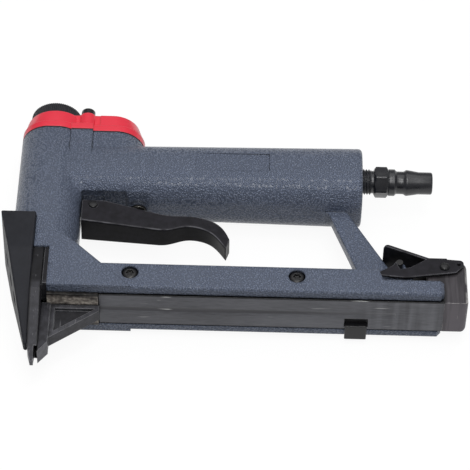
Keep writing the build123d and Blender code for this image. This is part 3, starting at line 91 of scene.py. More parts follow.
# Air plug: places along X, radii and rings
PLUG_AXIS = 126.2
PLUG_ROOT = 152.0
THREAD_END = 161.0
THREAD_PITCH = 1.337
THREAD_CREST = 6.58
THREAD_DEPTH = 0.75
THREAD_FLANK = 1.25
THREAD_STEPS = 72
NECK_RADIUS = 5.7
NECK_FRONT = ((0.05, 0.0),)
NECK_REAR = ((-0.35, 0.0),)
HEX_START = 162.7
HEX_END = 169.5
HEX_HALF = 7.0
HEX_TURN = radians(5)
HEX_CHAMFER = 0.75
HEX_FACE_RADIUS = 6.9
HEX_FACE_STEP = 0.02
HEX_FRONT_RADIUS = 6.6
HEX_FRONT = ((-0.3, 0.25), (0.0, 0.0))
HEX_REAR_RADIUS = 6.3
HEX_REAR = ((0.0, 0.0), (0.25, 0.0))
COLLAR_RADIUS = 6.75
COLLAR_END = 173.2
COLLAR_FRONT = ((0.35, 0.15), (0.6, 0.0))
COLLAR_REAR = ((-0.4, 0.0), (-0.05, 0.35))
GROOVE_RADIUS = 5.72
GROOVE_END = 177.7
GROOVE_FRONT = ((0.5, -0.12), (0.9, 0.0))
GROOVE_REAR = ((-0.6, 0.0), (0.0, -0.2))
SHOULDER_RADIUS = 6.58
SHOULDER_END = 178.9
SHOULDER = ((-0.35, 0.08), (0.0, 0.0), (0.5, 0.04))
TAPER_END = 184.9
TIP_RADIUS = 5.62
TIP = ((-0.9, 0.0), (-0.3, 0.2), (0.0, 0.65))
BORE_RADIUS = 3.75
BORE_MOUTH = ((0.0, -0.35), (-0.4, 0.0))
PLUG_END = 191.9

# Rail screws: a socket ring has its distance from the top and its share of the star's size
RAIL_SCREW_X = (43.1, 123.3)
RAIL_SCREW_Y = 46.7
RAIL_SCREW_SEAT = 13.8
RAIL_SCREW_TOP = 15.75
RAIL_SCREW_HEAD = 3.8
SCREW_FOOT = ((0.0, 0.1), (0.1, 0.0))
SCREW_DOME = ((-1.1, 0.0), (-0.8, 0.12), (-0.42, 0.55), (-0.18, 1.1), (-0.05, 1.6))
SCREW_SOCKET = ((0.0, 1.12), (-0.12, 1.0), (-1.3, 0.96), (-1.45, 0.6))
SOCKET_DEPTH = 1.5
STAR_LOBES = 6
STAR_RADIUS = 1.7
STAR_WAVE = 0.28

# Pins
TRIGGER_PIN = (22.3, 98.8)
TRIGGER_PIN_RADIUS = 2.2
TRIGGER_PIN_HALF = 8.1
TRIGGER_PIN_END = ((-0.4, 0.0), (-0.12, 0.1), (0.0, 0.35))
LATCH_PIN = (194.8, 58.6)
LATCH_PIN_RADIUS = 1.7
RIVET_SEAT = 12.4
RIVET_HEAD = 2.4
RIVET_RISE = 1.0
RIVET_DOME = ((0.0, 0.05), (0.15, 0.0), (0.5, 0.15), (0.8, 0.7), (0.97, 1.5))

# Springs: start, length along the spring's axis, coil radius, wire radius and turns
PUSHER_SPRING = dict(start=(30.38, 46.3, 0), length=155.64, radius=2.2, wire=0.35, turns=30)
HEAD_SPRING = dict(start=(0, 146.23, 0), length=5.44, radius=7.6, wire=0.5, turns=3)
STEM_SPRING = dict(start=(44.5, 115.53, 0), length=17.47, radius=2.2, wire=0.3, turns=9)

# Meshes made here: how near two points are one, rings' segments, and the angles up to which they look smooth
SAME_POINT = 0.0001
PLUG_SEGMENTS = 96
SCREW_SEGMENTS = 72
PIN_SEGMENTS = 40
COIL_STEPS = 40
WIRE_SIDES = 10
PLUG_SMOOTH = radians(28)
SCREW_SMOOTH = radians(40)
PIN_SMOOTH = radians(50)
WIRE_SMOOTH = radians(60)

# Sheet pieces whose sheared edges are rounded, with the width of the rounding
ROUNDED_EDGES = {"latch_lever": 0.4, "stop_clip": 0.45}
ROUNDED_SEGMENTS = 3
ROUNDED_FROM = radians(35)
WELD_REACH = 0.01
FLAT_WITHIN = radians(1)

# Samples of the nodes that look at neighbouring surfaces
BEVEL_SAMPLES = 6
SHADE_SAMPLES = 8

# Casting's pocket over the trigger, where shade is painted into the paint: its middle, half size and the
# depth over which that painted shade fades
TRIGGER_POCKET = (33.1, 99.8, 0.0)
TRIGGER_POCKET_HALF = (15.0, 6.8, 9.6)
TRIGGER_POCKET_FADE = (4.0, 0.1, 0.1)

# Nose: front and rear of the front plate, whose seams get painted shade, the heights where it is rubbed and
# ground, and the bracket's foot, whose web gets painted shade.
# Here and below, a reach is how far from its place a mark is still full, and how far off it has gone.
PLATE_FRONT = -4.2
PLATE_FRONT_REACH = (0.4, 0.9)
PLATE_SEAM = 0.9
PLATE_SEAM_REACH = (0.2, 0.6)
NOSE_RUB = 41.1
NOSE_RUB_FADE = 3.0
NOSE_END = 12.6
NOSE_END_FADE = 1.0
FOOT_START = 5.9
FOOT_FADE = 2.0
FOOT_WEB_REACH = (1.6, 1.8)

# Nail rail's front shoe: its rear end, and how far from the middle it is rubbed bare
SHOE_END = 31.9
SHOE_END_FADE = 1.0
SHOE_BAND = 6.4
SHOE_BAND_REACH = (1.2, 3.2)

# Magazine: how far from its middle it is free of painted shade along its long edges, the painted shade in its
# bead, and its heat bands
UNSHADED_REACH = (9.6, 10.0)
BEAD_Z = 0.6
BEAD_REACH = (0.4, 1.9)
BEAD_SHADE_FULL = 112.2
BEAD_SHADE_END = 162.2
HEAT_START = 147.2
HEAT_FULL = 177.2


# Mesh helpers
def row(x, y, z):
    """A point of the tool's own frame, in millimetres, as a point of the row frame in metres."""
    return (Vector((x, y, z)) + ROW_SHIFT) * MM


def make_object(name, verts, faces, body, slot):
    mesh = bpy.data.meshes.new(name)
    mesh.from_pydata([tuple(v) for v in verts], [], faces)
    work = bmesh.new()
    work.from_mesh(mesh)
    bmesh.ops.remove_doubles(work, verts=work.verts, dist=SAME_POINT * MM)
    bmesh.ops.recalc_face_normals(work, faces=work.faces)
    work.to_mesh(mesh)
    work.free()
    made = bpy.data.objects.new(name, mesh)
    bpy.context.scene.collection.objects.link(made)
    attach(made, body)
    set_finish(made, slot)
    return made


def smooth_by_angle(obj, angle):
    for face in obj.data.polygons:
        face.use_smooth = True
    obj.data.set_sharp_from_angle(angle=angle)


def turned(rings, start, axis, side, segments):
    """Vertices and faces of a lathe form. Each ring is (distance along the axis, radius),
    and a radius may be a function of the angle."""
    along = Vector(axis)
    across = Vector(side)
    third = along.cross(across)
    origin = Vector(start)
    verts = []
    faces = []
    for distance, radius in rings:
        for k in range(segments):
            angle = 2 * pi * k / segments
            reach = radius(angle) if callable(radius) else radius
            spoke = across * cos(angle) + third * sin(angle)
            point = origin + along * distance + spoke * reach
            verts.append(row(*point))
    for i in range(len(rings) - 1):
        for k in range(segments):
            nxt = (k + 1) % segments
            low = i * segments
            high = low + segments
            faces.append((low + k, low + nxt, high + nxt, high + k))
    return verts, faces


def near_place(place, radius, rings):
    """The rings near one place along an axis, from their distances and their steps in from a radius."""
    return [(place + distance, radius - step) for distance, step in rings]


def both_ends(end):
    """The rings of a pin with the same end on either side."""
    return [(-distance, radius) for distance, radius in reversed(end)] + end


def joined(parts):
    """Several (verts, faces) pairs as one."""
    verts = []
    faces = []
    for part_verts, part_faces in parts:
        base = len(verts)
        verts.extend(part_verts)
        faces.extend(tuple(i + base for i in face) for face in part_faces)
    return verts, faces


def coil(start, length, radius, wire, turns, axis, side, steps=COIL_STEPS, sides=WIRE_SIDES):
    """A round wire spring along one axis, wound at an even pitch and closed at its two ends."""
    along = Vector(axis)
    across = Vector(side)
    third = along.cross(across)
    origin = Vector(start)
    count = turns * steps
    verts = []
    faces = []
    for i in range(count + 1):
        angle = 2 * pi * i / steps
        outward = across * cos(angle) + third * sin(angle)
        centre = origin + along * (length * i / count) + outward * radius
        for k in range(sides):
            round_angle = 2 * pi * k / sides
            verts.append(row(*(centre + (outward * cos(round_angle) + along * sin(round_angle)) * wire)))
    for i in range(count):
        for k in range(sides):
            nxt = (k + 1) % sides
            faces.append((i * sides + k, i * sides + nxt, (i + 1) * sides + nxt, (i + 1) * sides + k))
    faces.append(tuple(range(sides)))
    faces.append(tuple(count * sides + k for k in range(sides)))
    return verts, faces


# Node helpers
def rgb(red, green, blue):
    """An 8 bit display colour as the linear colour that a shader takes."""
    def linear(value):
        share = value / 255
        return share / 12.92 if share <= 0.04045 else ((share + 0.055) / 1.055) ** 2.4
    return (linear(red), linear(green), linear(blue), 1.0)


def feed(tree, socket, value):
    """Links a socket to another node's output, or sets it to a plain value."""
    if isinstance(value, bpy.types.NodeSocket):
        tree.links.new(value, socket)
    else:
        socket.default_value = value


def add(tree, kind, inputs=None, **settings):
    made = tree.nodes.new(kind)
    for key, value in settings.items():
        setattr(made, key, value)
    for key, value in (inputs or {}).items():
        feed(tree, made.inputs[key], value)
    return made


def connect(tree, shader, **sockets):
    for name, value in sockets.items():
        feed(tree, shader.inputs[name.replace("_", " ")], value)


def new_material(name):
    material = bpy.data.materials.new(name)
    material.use_nodes = True
    return material, material.node_tree, material.node_tree.nodes["Principled BSDF"]


def place(tree, stretch=(1, 1, 1)):
    """Where a surface point is in the row frame, in metres, with each axis stretched."""
    coords = add(tree, "ShaderNodeTexCoord")
    mapped = add(tree, "ShaderNodeMapping", {"Vector": coords.outputs["Object"], "Scale": stretch})
    return mapped.outputs["Vector"]


def tool_place(tree):
    """The X, Y and Z of a surface point in the tool's own frame, in millimetres."""
    coords = add(tree, "ShaderNodeTexCoord")
    mapped = add(tree, "ShaderNodeMapping", {
        "Vector": coords.outputs["Object"], "Location": -ROW_SHIFT, "Scale": (1 / MM, 1 / MM, 1 / MM),
    })
    return add(tree, "ShaderNodeSeparateXYZ", {"Vector": mapped.outputs["Vector"]}).outputs


def noise(tree, scale, detail=3.0, stretch=(1, 1, 1)):
    """Noise with about so many waves to the metre."""
    made = add(tree, "ShaderNodeTexNoise", {"Vector": place(tree, stretch), "Scale": scale, "Detail": detail})
    return made.outputs["Fac"]


def span(tree, value, low, high, to_low=0.0, to_high=1.0):
    return add(tree, "ShaderNodeMapRange", {
        "Value": value, "From Min": low, "From Max": high, "To Min": to_low, "To Max": to_high,
    }).outputs["Result"]


def maths(tree, operation, first, second=0.0):
    return add(tree, "ShaderNodeMath", {0: first, 1: second}, operation=operation).outputs["Value"]


def plus(tree, first, second):
    return maths(tree, "ADD", first, second)


def minus(tree, first, second):
    return maths(tree, "SUBTRACT", first, second)


def times(tree, first, second):
    return maths(tree, "MULTIPLY", first, second)


def most(tree, first, second):
    return maths(tree, "MAXIMUM", first, second)


def opposite(tree, mask):
    return span(tree, mask, 0.0, 1.0, 1.0, 0.0)


def mix(tree, share, first, second):
    made = add(tree, "ShaderNodeMix", {0: share, 6: first, 7: second}, data_type="RGBA")
    return made.outputs[2]


def distance_to(tree, value, centre):
    return maths(tree, "ABSOLUTE", minus(tree, value, centre))


def near(tree, value, centre, reach):
    """One near a value and nought away from it."""
    full, gone = reach
    return span(tree, distance_to(tree, value, centre), full, gone, 1.0, 0.0)


def edge_mask(tree, width):
    """One along the edges and nought on the flats, from how far a rounded normal turns."""
    rounded = add(tree, "ShaderNodeBevel", {"Radius": width * MM}, samples=BEVEL_SAMPLES)
    plain = add(tree, "ShaderNodeNewGeometry")
    dot = add(tree, "ShaderNodeVectorMath", {
        0: rounded.outputs["Normal"], 1: plain.outputs["Normal"],
    }, operation="DOT_PRODUCT")
    return span(tree, dot.outputs["Value"], 0.985, 0.86)


def sideways(tree):
    """How far a surface looks out of the tool's left side: the Z of its normal."""
    normal = add(tree, "ShaderNodeNewGeometry").outputs["Normal"]
    return add(tree, "ShaderNodeSeparateXYZ", {"Vector": normal}).outputs["Z"]


def fold_mask(tree):
    """One where a bent sheet turns from its side into its back and nought on either face."""
    return span(tree, distance_to(tree, maths(tree, "POWER", sideways(tree), 2.0), 0.5), 0.4, 0.1)


def side_mask(tree):
    """One on the faces that look out of the tool's sides and nought on the rest."""
    return span(tree, maths(tree, "ABSOLUTE", sideways(tree)), 0.5, 0.8)


def painted_crevice_shade(tree, reach, open_share, shut_share):
    """One where other surfaces close in within a short reach and nought in the open, used to paint shade into
    corners, creases and holes.
    """
    shade = add(tree, "ShaderNodeAmbientOcclusion", {"Distance": reach * MM}, samples=SHADE_SAMPLES)
    return span(tree, shade.outputs["AO"], shut_share, open_share, 1.0, 0.0)


def bump(tree, shader, height, depth, strength, rounding):
    """Roughens a surface whose sharp edges are first rounded off."""
    rounded = add(tree, "ShaderNodeBevel", {"Radius": rounding * MM}, samples=BEVEL_SAMPLES)
    made = add(tree, "ShaderNodeBump", {
        "Height": height, "Distance": depth * MM, "Strength": strength, "Normal": rounded.outputs["Normal"],
    })
    tree.links.new(made.outputs["Normal"], shader.inputs["Normal"])
    tree.links.new(made.outputs["Normal"], shader.inputs["Coat Normal"])


# Materials
# Near-black painted shade along the long edges of the magazine and the shoe
PAINTED_SHADE_BLACK = rgb(12, 12, 13)


def trigger_pocket_painted_shade(tree):
    """How much shade is painted into the pocket over the trigger: most on its upright faces, less on its
    roof.
    """
    at = tool_place(tree)
    dark = span(tree, side_mask(tree), 0.0, 1.0, 0.3, 0.8)
    sizes = zip("XYZ", TRIGGER_POCKET, TRIGGER_POCKET_HALF, TRIGGER_POCKET_FADE)
    for axis, centre, half, fade in sizes:
        dark = times(tree, dark, near(tree, at[axis], centre, (half, half + fade)))
    return dark


def hammertone():
    """Slate paint that dried into small domes, darker between them, with shade painted into the casting's
    corners and creases and into the pocket over the trigger.
    """
    material, tree, shader = new_material("hammertone_paint")
    wobble = add(tree, "ShaderNodeTexNoise", {"Vector": place(tree), "Scale": 300.0, "Detail": 2.0})
    shift = add(tree, "ShaderNodeVectorMath", {
        0: wobble.outputs["Color"], "Scale": 0.5 * MM,
    }, operation="SCALE")
    spot = add(tree, "ShaderNodeVectorMath", {0: place(tree), 1: shift.outputs["Vector"]}, operation="ADD")
    cells = add(tree, "ShaderNodeTexVoronoi", {
        "Vector": spot.outputs["Vector"], "Scale": 1100.0, "Smoothness": 0.2,
    }, feature="SMOOTH_F1")
    dome = span(tree, maths(tree, "POWER", cells.outputs["Distance"], 2.0), 0.0, 0.4, 1.0, 0.0)
    patches = noise(tree, 60.0, 4.0)
    deep = mix(tree, patches, rgb(78, 85, 101), rgb(85, 93, 109))
    light = mix(tree, patches, rgb(104, 112, 131), rgb(111, 120, 139))
    # Painted shade: the paint turns near-black in creases, in corners and in the pocket over the trigger
    creases = times(tree, painted_crevice_shade(tree, 0.7, 0.86, 0.6), 0.7)
    corners = most(tree, painted_crevice_shade(tree, 2.0, 0.42, 0.2), creases)
    shade = most(tree, corners, trigger_pocket_painted_shade(tree))
    colour = mix(tree, shade, mix(tree, dome, deep, light), rgb(22, 24, 29))
    connect(tree, shader, Base_Color=colour, Metallic=0.2, Roughness=span(tree, dome, 0, 1, 0.45, 0.25))
    connect(tree, shader, Specular_IOR_Level=0.05, Coat_Weight=0.44, Coat_Roughness=0.06, Coat_IOR=1.45)
    bump(tree, shader, dome, 0.29, 1.0, 1.8)
    return material


def gloss_red():
    """Bright red paint over a casting, slightly uneven, with a painted highlight that makes it paler along
    its edges.
    """
    material, tree, shader = new_material("gloss_red_paint")
    colour = mix(tree, noise(tree, 45.0, 3.0), rgb(224, 40, 60), rgb(236, 54, 75))
    # Painted highlight: the edges turn paler pink
    worn = mix(tree, times(tree, edge_mask(tree, 0.7), 0.4), colour, rgb(240, 110, 116))
    connect(tree, shader, Base_Color=worn, Roughness=span(tree, noise(tree, 300.0), 0.3, 0.7, 0.28, 0.42))
    connect(tree, shader, Specular_IOR_Level=0.35, Coat_Weight=0.2, Coat_Roughness=0.12)
    bump(tree, shader, noise(tree, 500.0, 2.0), 0.08, 0.35, 0.7)
    return material


def finish_look(name, dark, light, bare, roughness, metallic=0.0, specular=0.5, grain=400.0,
                stretch=(1, 1, 1), wear=0.6, edge=0.6, relief=0.04, painted_side_light_and_fold_highlight=False, painted_hole_shade=False):
    """A dark finish with a grain, worn through to a lighter tone along its edges. Folded sheet is painted
    lighter on its sides and darker on its other faces, as light and shade, with a painted highlight along its
    folds, and a finish may have shade painted near-black into its holes."""
    material, tree, shader = new_material(name)
    grains = noise(tree, grain, 5.0, stretch)
    blotches = noise(tree, 55.0, 4.0)
    tone = plus(tree, times(tree, grains, 0.6), times(tree, blotches, 0.4))
    edges = edge_mask(tree, edge)
    # Painted light and shade: faces looking out of the tool's sides are lighter, the rest darker, and the
    # folds get a painted highlight
    if painted_side_light_and_fold_highlight:
        tone = plus(tree, tone, span(tree, side_mask(tree), 0.0, 1.0, -0.13, 0.13))
        edges = most(tree, edges, fold_mask(tree))
    colour = mix(tree, span(tree, tone, 0.3, 0.7), dark, light)
    # Painted shade: near-black where other surfaces close in round holes and pins
    if painted_hole_shade:
        colour = mix(tree, painted_crevice_shade(tree, 1.5, 0.7, 0.35), colour, rgb(5, 5, 6))
    rubbed = times(tree, edges, span(tree, noise(tree, 160.0, 4.0), 0.3, 0.55))
    connect(tree, shader, Base_Color=mix(tree, times(tree, rubbed, wear), colour, bare))
    connect(tree, shader, Roughness=span(tree, grains, 0.3, 0.7, roughness - 0.07, roughness + 0.07))
    connect(tree, shader, Metallic=metallic, Specular_IOR_Level=specular)
    bump(tree, shader, grains, relief, 0.4, edge)
    return material


def heat_bands(tree):
    """Soft upright bands on the rear part of the magazine, nought at its front."""
    rear = span(tree, tool_place(tree)["X"], HEAT_START, HEAT_FULL)
    wave = noise(tree, 190.0, 2.0, (1, 0.08, 0.08))
    return times(tree, rear, span(tree, wave, 0.4, 0.62))


def bead_painted_shade(tree):
    """Painted shade in the bead along the magazine: one in the bead and nought beside it, gone towards the
    rear.
    """
    at = tool_place(tree)
    band = near(tree, at["Z"], BEAD_Z, BEAD_REACH)
    return times(tree, band, span(tree, at["X"], BEAD_SHADE_FULL, BEAD_SHADE_END, 1.0, 0.0))


def rim_painted_shade(tree):
    """How much shade is painted along the long edges of the magazine and the shoe. Nought between them."""
    unshaded = near(tree, tool_place(tree)["Z"], 0.0, UNSHADED_REACH)
    return span(tree, unshaded, 0.0, 1.0, 0.85, 0.0)


def streaked_steel(name, dark, light, scratch, stretch, roughness, wear=0.5, grain=2600.0,
                   banded=False, rim_shaded=False, side_shaded_fold_worn=False):
    """Worn steel: a fine drawn grain, wide stains and a few bright scratches. The magazine is banded by heat,
    with shade painted into its bead and along its long edges, and the end block has shade painted on its
    sides and is worn along its folds."""
    material, tree, shader = new_material(name)
    drawn = noise(tree, grain, 3.0, stretch)
    stains = noise(tree, 60.0, 5.0, tuple(sqrt(s) for s in stretch))
    tone = plus(tree, times(tree, drawn, 0.35), times(tree, stains, 0.65))
    edges = edge_mask(tree, 0.5)
    if banded:
        tone = plus(tree, tone, times(tree, heat_bands(tree), 0.2))
        # Painted shade in the bead
        tone = minus(tree, tone, times(tree, bead_painted_shade(tree), 0.3))
    # Painted shade: the faces looking out of the tool's sides are darker
    if side_shaded_fold_worn:
        tone = minus(tree, tone, times(tree, side_mask(tree), 0.2))
        edges = most(tree, edges, fold_mask(tree))
    colour = mix(tree, span(tree, tone, 0.32, 0.72), dark, light)
    # Painted shade along the long edges
    if rim_shaded:
        colour = mix(tree, rim_painted_shade(tree), colour, PAINTED_SHADE_BLACK)
    fine = noise(tree, 1500.0, 2.0, tuple(s * 0.5 for s in stretch))
    lines = times(tree, span(tree, fine, 0.67, 0.75), span(tree, noise(tree, 40.0), 0.48, 0.6))
    rubbed = times(tree, edges, span(tree, noise(tree, 120.0, 4.0), 0.4, 0.65))
    bright = most(tree, times(tree, lines, 0.8), times(tree, rubbed, wear))
    connect(tree, shader, Base_Color=mix(tree, bright, colour, scratch), Metallic=0.6)
    connect(tree, shader, Roughness=span(tree, stains, 0.3, 0.7, roughness - 0.1, roughness + 0.08))
    bump(tree, shader, drawn, 0.02, 0.3, 0.5)
    return material


def nose_tones(tree, at, sides, grains):
    """The nose's plain steel: dark above and lighter grey below the magazine, lighter on the bracket's foot
    and ground bright at the very end. Also says where it is rubbed."""
    tone = span(tree, grains, 0.35, 0.65)
    below = span(tree, at["Y"], NOSE_RUB - NOSE_RUB_FADE, NOSE_RUB, 1.0, 0.0)
    foot = span(tree, at["X"], FOOT_START, FOOT_START + FOOT_FADE)
    end = span(tree, at["Y"], NOSE_END - NOSE_END_FADE, NOSE_END, 1.0, 0.0)
    ground = times(tree, end, opposite(tree, sides))
    upper = mix(tree, tone, rgb(20, 20, 23), rgb(31, 31, 35))
    lower = mix(tree, tone, rgb(43, 43, 47), rgb(61, 61, 66))
    lower = mix(tree, foot, lower, mix(tree, tone, rgb(60, 60, 64), rgb(80, 80, 85)))
    lower = mix(tree, ground, lower, mix(tree, tone, rgb(92, 92, 97), rgb(124, 124, 129)))
    return mix(tree, below, upper, lower), below


def rubbed_nose():
    """Steel with shade painted into its pockets and along its seams, and rubbed and scratched along the drive
    line.
    """
    material, tree, shader = new_material("rubbed_nose_steel")
    at = tool_place(tree)
    sides = side_mask(tree)
    grains = noise(tree, 320.0, 5.0)
    plain, below = nose_tones(tree, at, sides, grains)
    # Painted shade, near-black: in the bracket's web and pocket and along the plate seams on the side faces
    web = times(tree, near(tree, at["Z"], 0.0, FOOT_WEB_REACH), sides)
    pocket = most(tree, times(tree, painted_crevice_shade(tree, 4.0, 0.75, 0.3), 0.75), times(tree, web, 0.6))
    rear_seam = near(tree, at["X"], PLATE_SEAM, PLATE_SEAM_REACH)
    front_seam = near(tree, at["X"], PLATE_FRONT, PLATE_FRONT_REACH)
    seams = times(tree, most(tree, rear_seam, front_seam), sides)
    colour = mix(tree, most(tree, pocket, times(tree, seams, 0.85)), plain, rgb(18, 18, 20))
    lines = span(tree, noise(tree, 1300.0, 2.0, (1, 0.06, 1)), 0.64, 0.74)
    scratches = times(tree, times(tree, lines, below), 0.45)
    rubbed = times(tree, edge_mask(tree, 0.5), span(tree, noise(tree, 160.0, 4.0), 0.25, 0.5))
    bright = most(tree, scratches, times(tree, rubbed, 0.9))
    bright = times(tree, bright, opposite(tree, seams))
    connect(tree, shader, Base_Color=mix(tree, bright, colour, rgb(140, 140, 144)))
    connect(tree, shader, Metallic=0.12, Specular_IOR_Level=0.2)
    connect(tree, shader, Roughness=span(tree, grains, 0.3, 0.7, 0.36, 0.5))
    bump(tree, shader, grains, 0.04, 0.4, 0.4)
    return material


def worn_shoe():
    """Dark steel whose front shoe is rubbed to bare, brassy patches in a band on either side."""
    material, tree, shader = new_material("worn_shoe_steel")
    at = tool_place(tree)
    shoe = span(tree, at["X"], SHOE_END - SHOE_END_FADE, SHOE_END, 1.0, 0.0)
    band = near(tree, distance_to(tree, at["Z"], 0.0), SHOE_BAND, SHOE_BAND_REACH)
    wear = plus(tree, noise(tree, 230.0, 6.0, (0.5, 1, 1)), span(tree, band, 0.0, 1.0, -0.06, 0.11))
    patch = span(tree, wear, 0.42, 0.62)
    speck = span(tree, noise(tree, 620.0, 4.0), 0.42, 0.65)
    ground = mix(tree, speck, rgb(64, 60, 58), rgb(98, 93, 89))
    bare = mix(tree, speck, rgb(144, 135, 128), rgb(214, 206, 194))
    # Painted shade along the shoe's long edges, over its wear
    rubbed = mix(tree, rim_painted_shade(tree), mix(tree, patch, ground, bare), PAINTED_SHADE_BLACK)
    connect(tree, shader, Base_Color=mix(tree, shoe, rgb(44, 44, 46), rubbed), Metallic=0.3)
    connect(tree, shader, Roughness=span(tree, patch, 0, 1, 0.5, 0.3))
    bump(tree, shader, speck, 0.05, 0.5, 0.5)
    return material


MATERIALS = {
    "casting": hammertone(),
    "cap": gloss_red(),
    "rubber": finish_look("black_rubber", rgb(20, 20, 21), rgb(30, 30, 31), rgb(45, 45, 46), 0.75,
                          specular=0.3),
    "deflector": finish_look("moulded_black", rgb(22, 23, 26), rgb(36, 37, 41), rgb(78, 79, 84), 0.5,
                             specular=0.3, grain=900.0),
    # Black oxide: its lighter edges are partly wear and partly painted highlight, and its holes get painted
    # shade
    "screws": finish_look("black_oxide", rgb(16, 16, 18), rgb(27, 27, 30), rgb(112, 112, 112), 0.33,
                          specular=0.4, grain=700.0, wear=0.35, painted_hole_shade=True),
    "bright_aluminium": streaked_steel("turned_aluminium", rgb(150, 152, 156), rgb(190, 192, 196),
                                       rgb(225, 226, 228), (1, 8, 1), 0.35),
    "tool_steel": streaked_steel("ground_steel", rgb(96, 93, 90), rgb(150, 147, 142), rgb(214, 204, 182),
                                 (0.12, 1, 1), 0.4),
    "shoe_steel": worn_shoe(),
    "spring_steel": streaked_steel("spring_wire", rgb(120, 121, 123), rgb(160, 161, 163),
                                   rgb(210, 210, 210), (1, 1, 1), 0.3),
    # Satin black sheet: painted light on its sides, painted highlights along its edges and folds, and painted
    # shade round its holes and pins
    "black_sheet": finish_look("satin_black_sheet", rgb(15, 15, 17), rgb(40, 39, 44), rgb(112, 112, 117),
                               0.36, specular=0.1, grain=300.0, wear=0.8, edge=1.1, painted_side_light_and_fold_highlight=True,
                               painted_hole_shade=True),
    "valve_brass": finish_look("plated_brass", rgb(30, 30, 31), rgb(48, 47, 46), rgb(150, 147, 140), 0.24,
                               metallic=0.6),
    "black_plug": finish_look("black_plug_finish", rgb(20, 21, 26), rgb(30, 31, 37), rgb(92, 94, 98), 0.3,
                              specular=0.65, grain=300.0, stretch=(1, 0.3, 0.3), relief=0.01),
    "dark_steel": finish_look("phosphated_steel", rgb(32, 33, 38), rgb(44, 45, 50), rgb(84, 84, 90), 0.5,
                              metallic=0.1, specular=0.15, grain=260.0, wear=0.7),
    "nose_steel": rubbed_nose(),
    "magazine_steel": streaked_steel("magazine_steel", rgb(63, 63, 67), rgb(106, 107, 112),
                                     rgb(196, 197, 196), (0.08, 1, 1), 0.42, wear=0.25, banded=True,
                                     rim_shaded=True),
    "block_steel": streaked_steel("browned_steel", rgb(48, 46, 49), rgb(96, 92, 97), rgb(192, 190, 188),
                                  (1, 0.08, 0.08), 0.44, wear=0.9, grain=900.0, banded=True, side_shaded_fold_worn=True),
    "pusher": finish_look("moulded_pusher", rgb(38, 38, 40), rgb(52, 52, 54), rgb(88, 88, 90), 0.6,
                          specular=0.35),
}


# Pieces made here
def hexagon(angle):
    """How far the hexagon reaches at an angle."""
    sector = (angle + HEX_TURN) % (pi / 3)
    return HEX_HALF / cos(sector - pi / 6)


def chamfered(limit):
    """A ring of the hexagon turned down where its corners stand past a limit."""
    return lambda angle: min(hexagon(angle), limit)


def thread_rings(start, end, steps):
    """Rings of a screw thread: the crest winds once round the axis in every pitch."""
    def radius_at(x):
        def radius(angle):
            phase = (x / THREAD_PITCH - angle / (2 * pi)) % 1.0
            return THREAD_CREST - THREAD_DEPTH * min(1.0, abs(2 * phase - 1) * THREAD_FLANK)
        return radius
    places = [start + (end - start) * i / steps for i in range(steps + 1)]
    return [(x, radius_at(x)) for x in places]


def make_plug():
    """The air plug: thread, neck, hexagon, collar, groove, shoulder and tapered tip round one bore."""
    corner = HEX_HALF / cos(pi / 6)
    rings = [(PLUG_ROOT, BORE_RADIUS)]
    rings += thread_rings(PLUG_ROOT, THREAD_END, THREAD_STEPS)
    rings += near_place(THREAD_END, NECK_RADIUS, NECK_FRONT)
    rings += near_place(HEX_START, NECK_RADIUS, NECK_REAR)
    rings += near_place(HEX_START, HEX_FRONT_RADIUS, HEX_FRONT)
    rings += [
        (HEX_START + HEX_FACE_STEP, chamfered(HEX_FACE_RADIUS)), (HEX_START + HEX_CHAMFER, chamfered(corner)),
        (HEX_END - HEX_CHAMFER, chamfered(corner)), (HEX_END - HEX_FACE_STEP, chamfered(HEX_FACE_RADIUS)),
    ]
    rings += near_place(HEX_END, HEX_REAR_RADIUS, HEX_REAR)
    rings += near_place(HEX_END, COLLAR_RADIUS, COLLAR_FRONT)
    rings += near_place(COLLAR_END, COLLAR_RADIUS, COLLAR_REAR)
    rings += near_place(COLLAR_END, GROOVE_RADIUS, GROOVE_FRONT)
    rings += near_place(GROOVE_END, GROOVE_RADIUS, GROOVE_REAR)
    rings += near_place(SHOULDER_END, SHOULDER_RADIUS, SHOULDER)
    rings.append((TAPER_END, TIP_RADIUS))
    rings += near_place(PLUG_END, TIP_RADIUS, TIP)
    rings += near_place(PLUG_END, BORE_RADIUS, BORE_MOUTH)
    rings.append((PLUG_ROOT, BORE_RADIUS))
    verts, faces = turned(rings, (0, PLUG_AXIS, 0), (1, 0, 0), (0, 1, 0), PLUG_SEGMENTS)
    plug = make_object("air_plug_turned", verts, faces, "frame", "black_plug")
    smooth_by_angle(plug, PLUG_SMOOTH)
    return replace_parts(plug, "air_plug")


def star(share):
    """A ring of the six lobed driver socket, at a share of its size."""
    return lambda angle: share * (STAR_RADIUS + STAR_WAVE * cos(STAR_LOBES * angle))


def make_rail_screws():
    """Four button heads with star sockets, two on either side."""
    rings = [(RAIL_SCREW_SEAT, 0.0)]
    rings += near_place(RAIL_SCREW_SEAT, RAIL_SCREW_HEAD, SCREW_FOOT)
    rings += near_place(RAIL_SCREW_TOP, RAIL_SCREW_HEAD, SCREW_DOME)
    rings += [(RAIL_SCREW_TOP + distance, star(share)) for distance, share in SCREW_SOCKET]
    rings.append((RAIL_SCREW_TOP - SOCKET_DEPTH, 0.0))
    parts = []
    for x in RAIL_SCREW_X:
        for side in (1, -1):
            parts.append(turned(rings, (x, RAIL_SCREW_Y, 0), (0, 0, side), (1, 0, 0), SCREW_SEGMENTS))
    verts, faces = joined(parts)
    screws = make_object("rail_button_screws", verts, faces, "frame", "screws")
    smooth_by_angle(screws, SCREW_SMOOTH)
    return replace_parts(screws, "rail_screws")


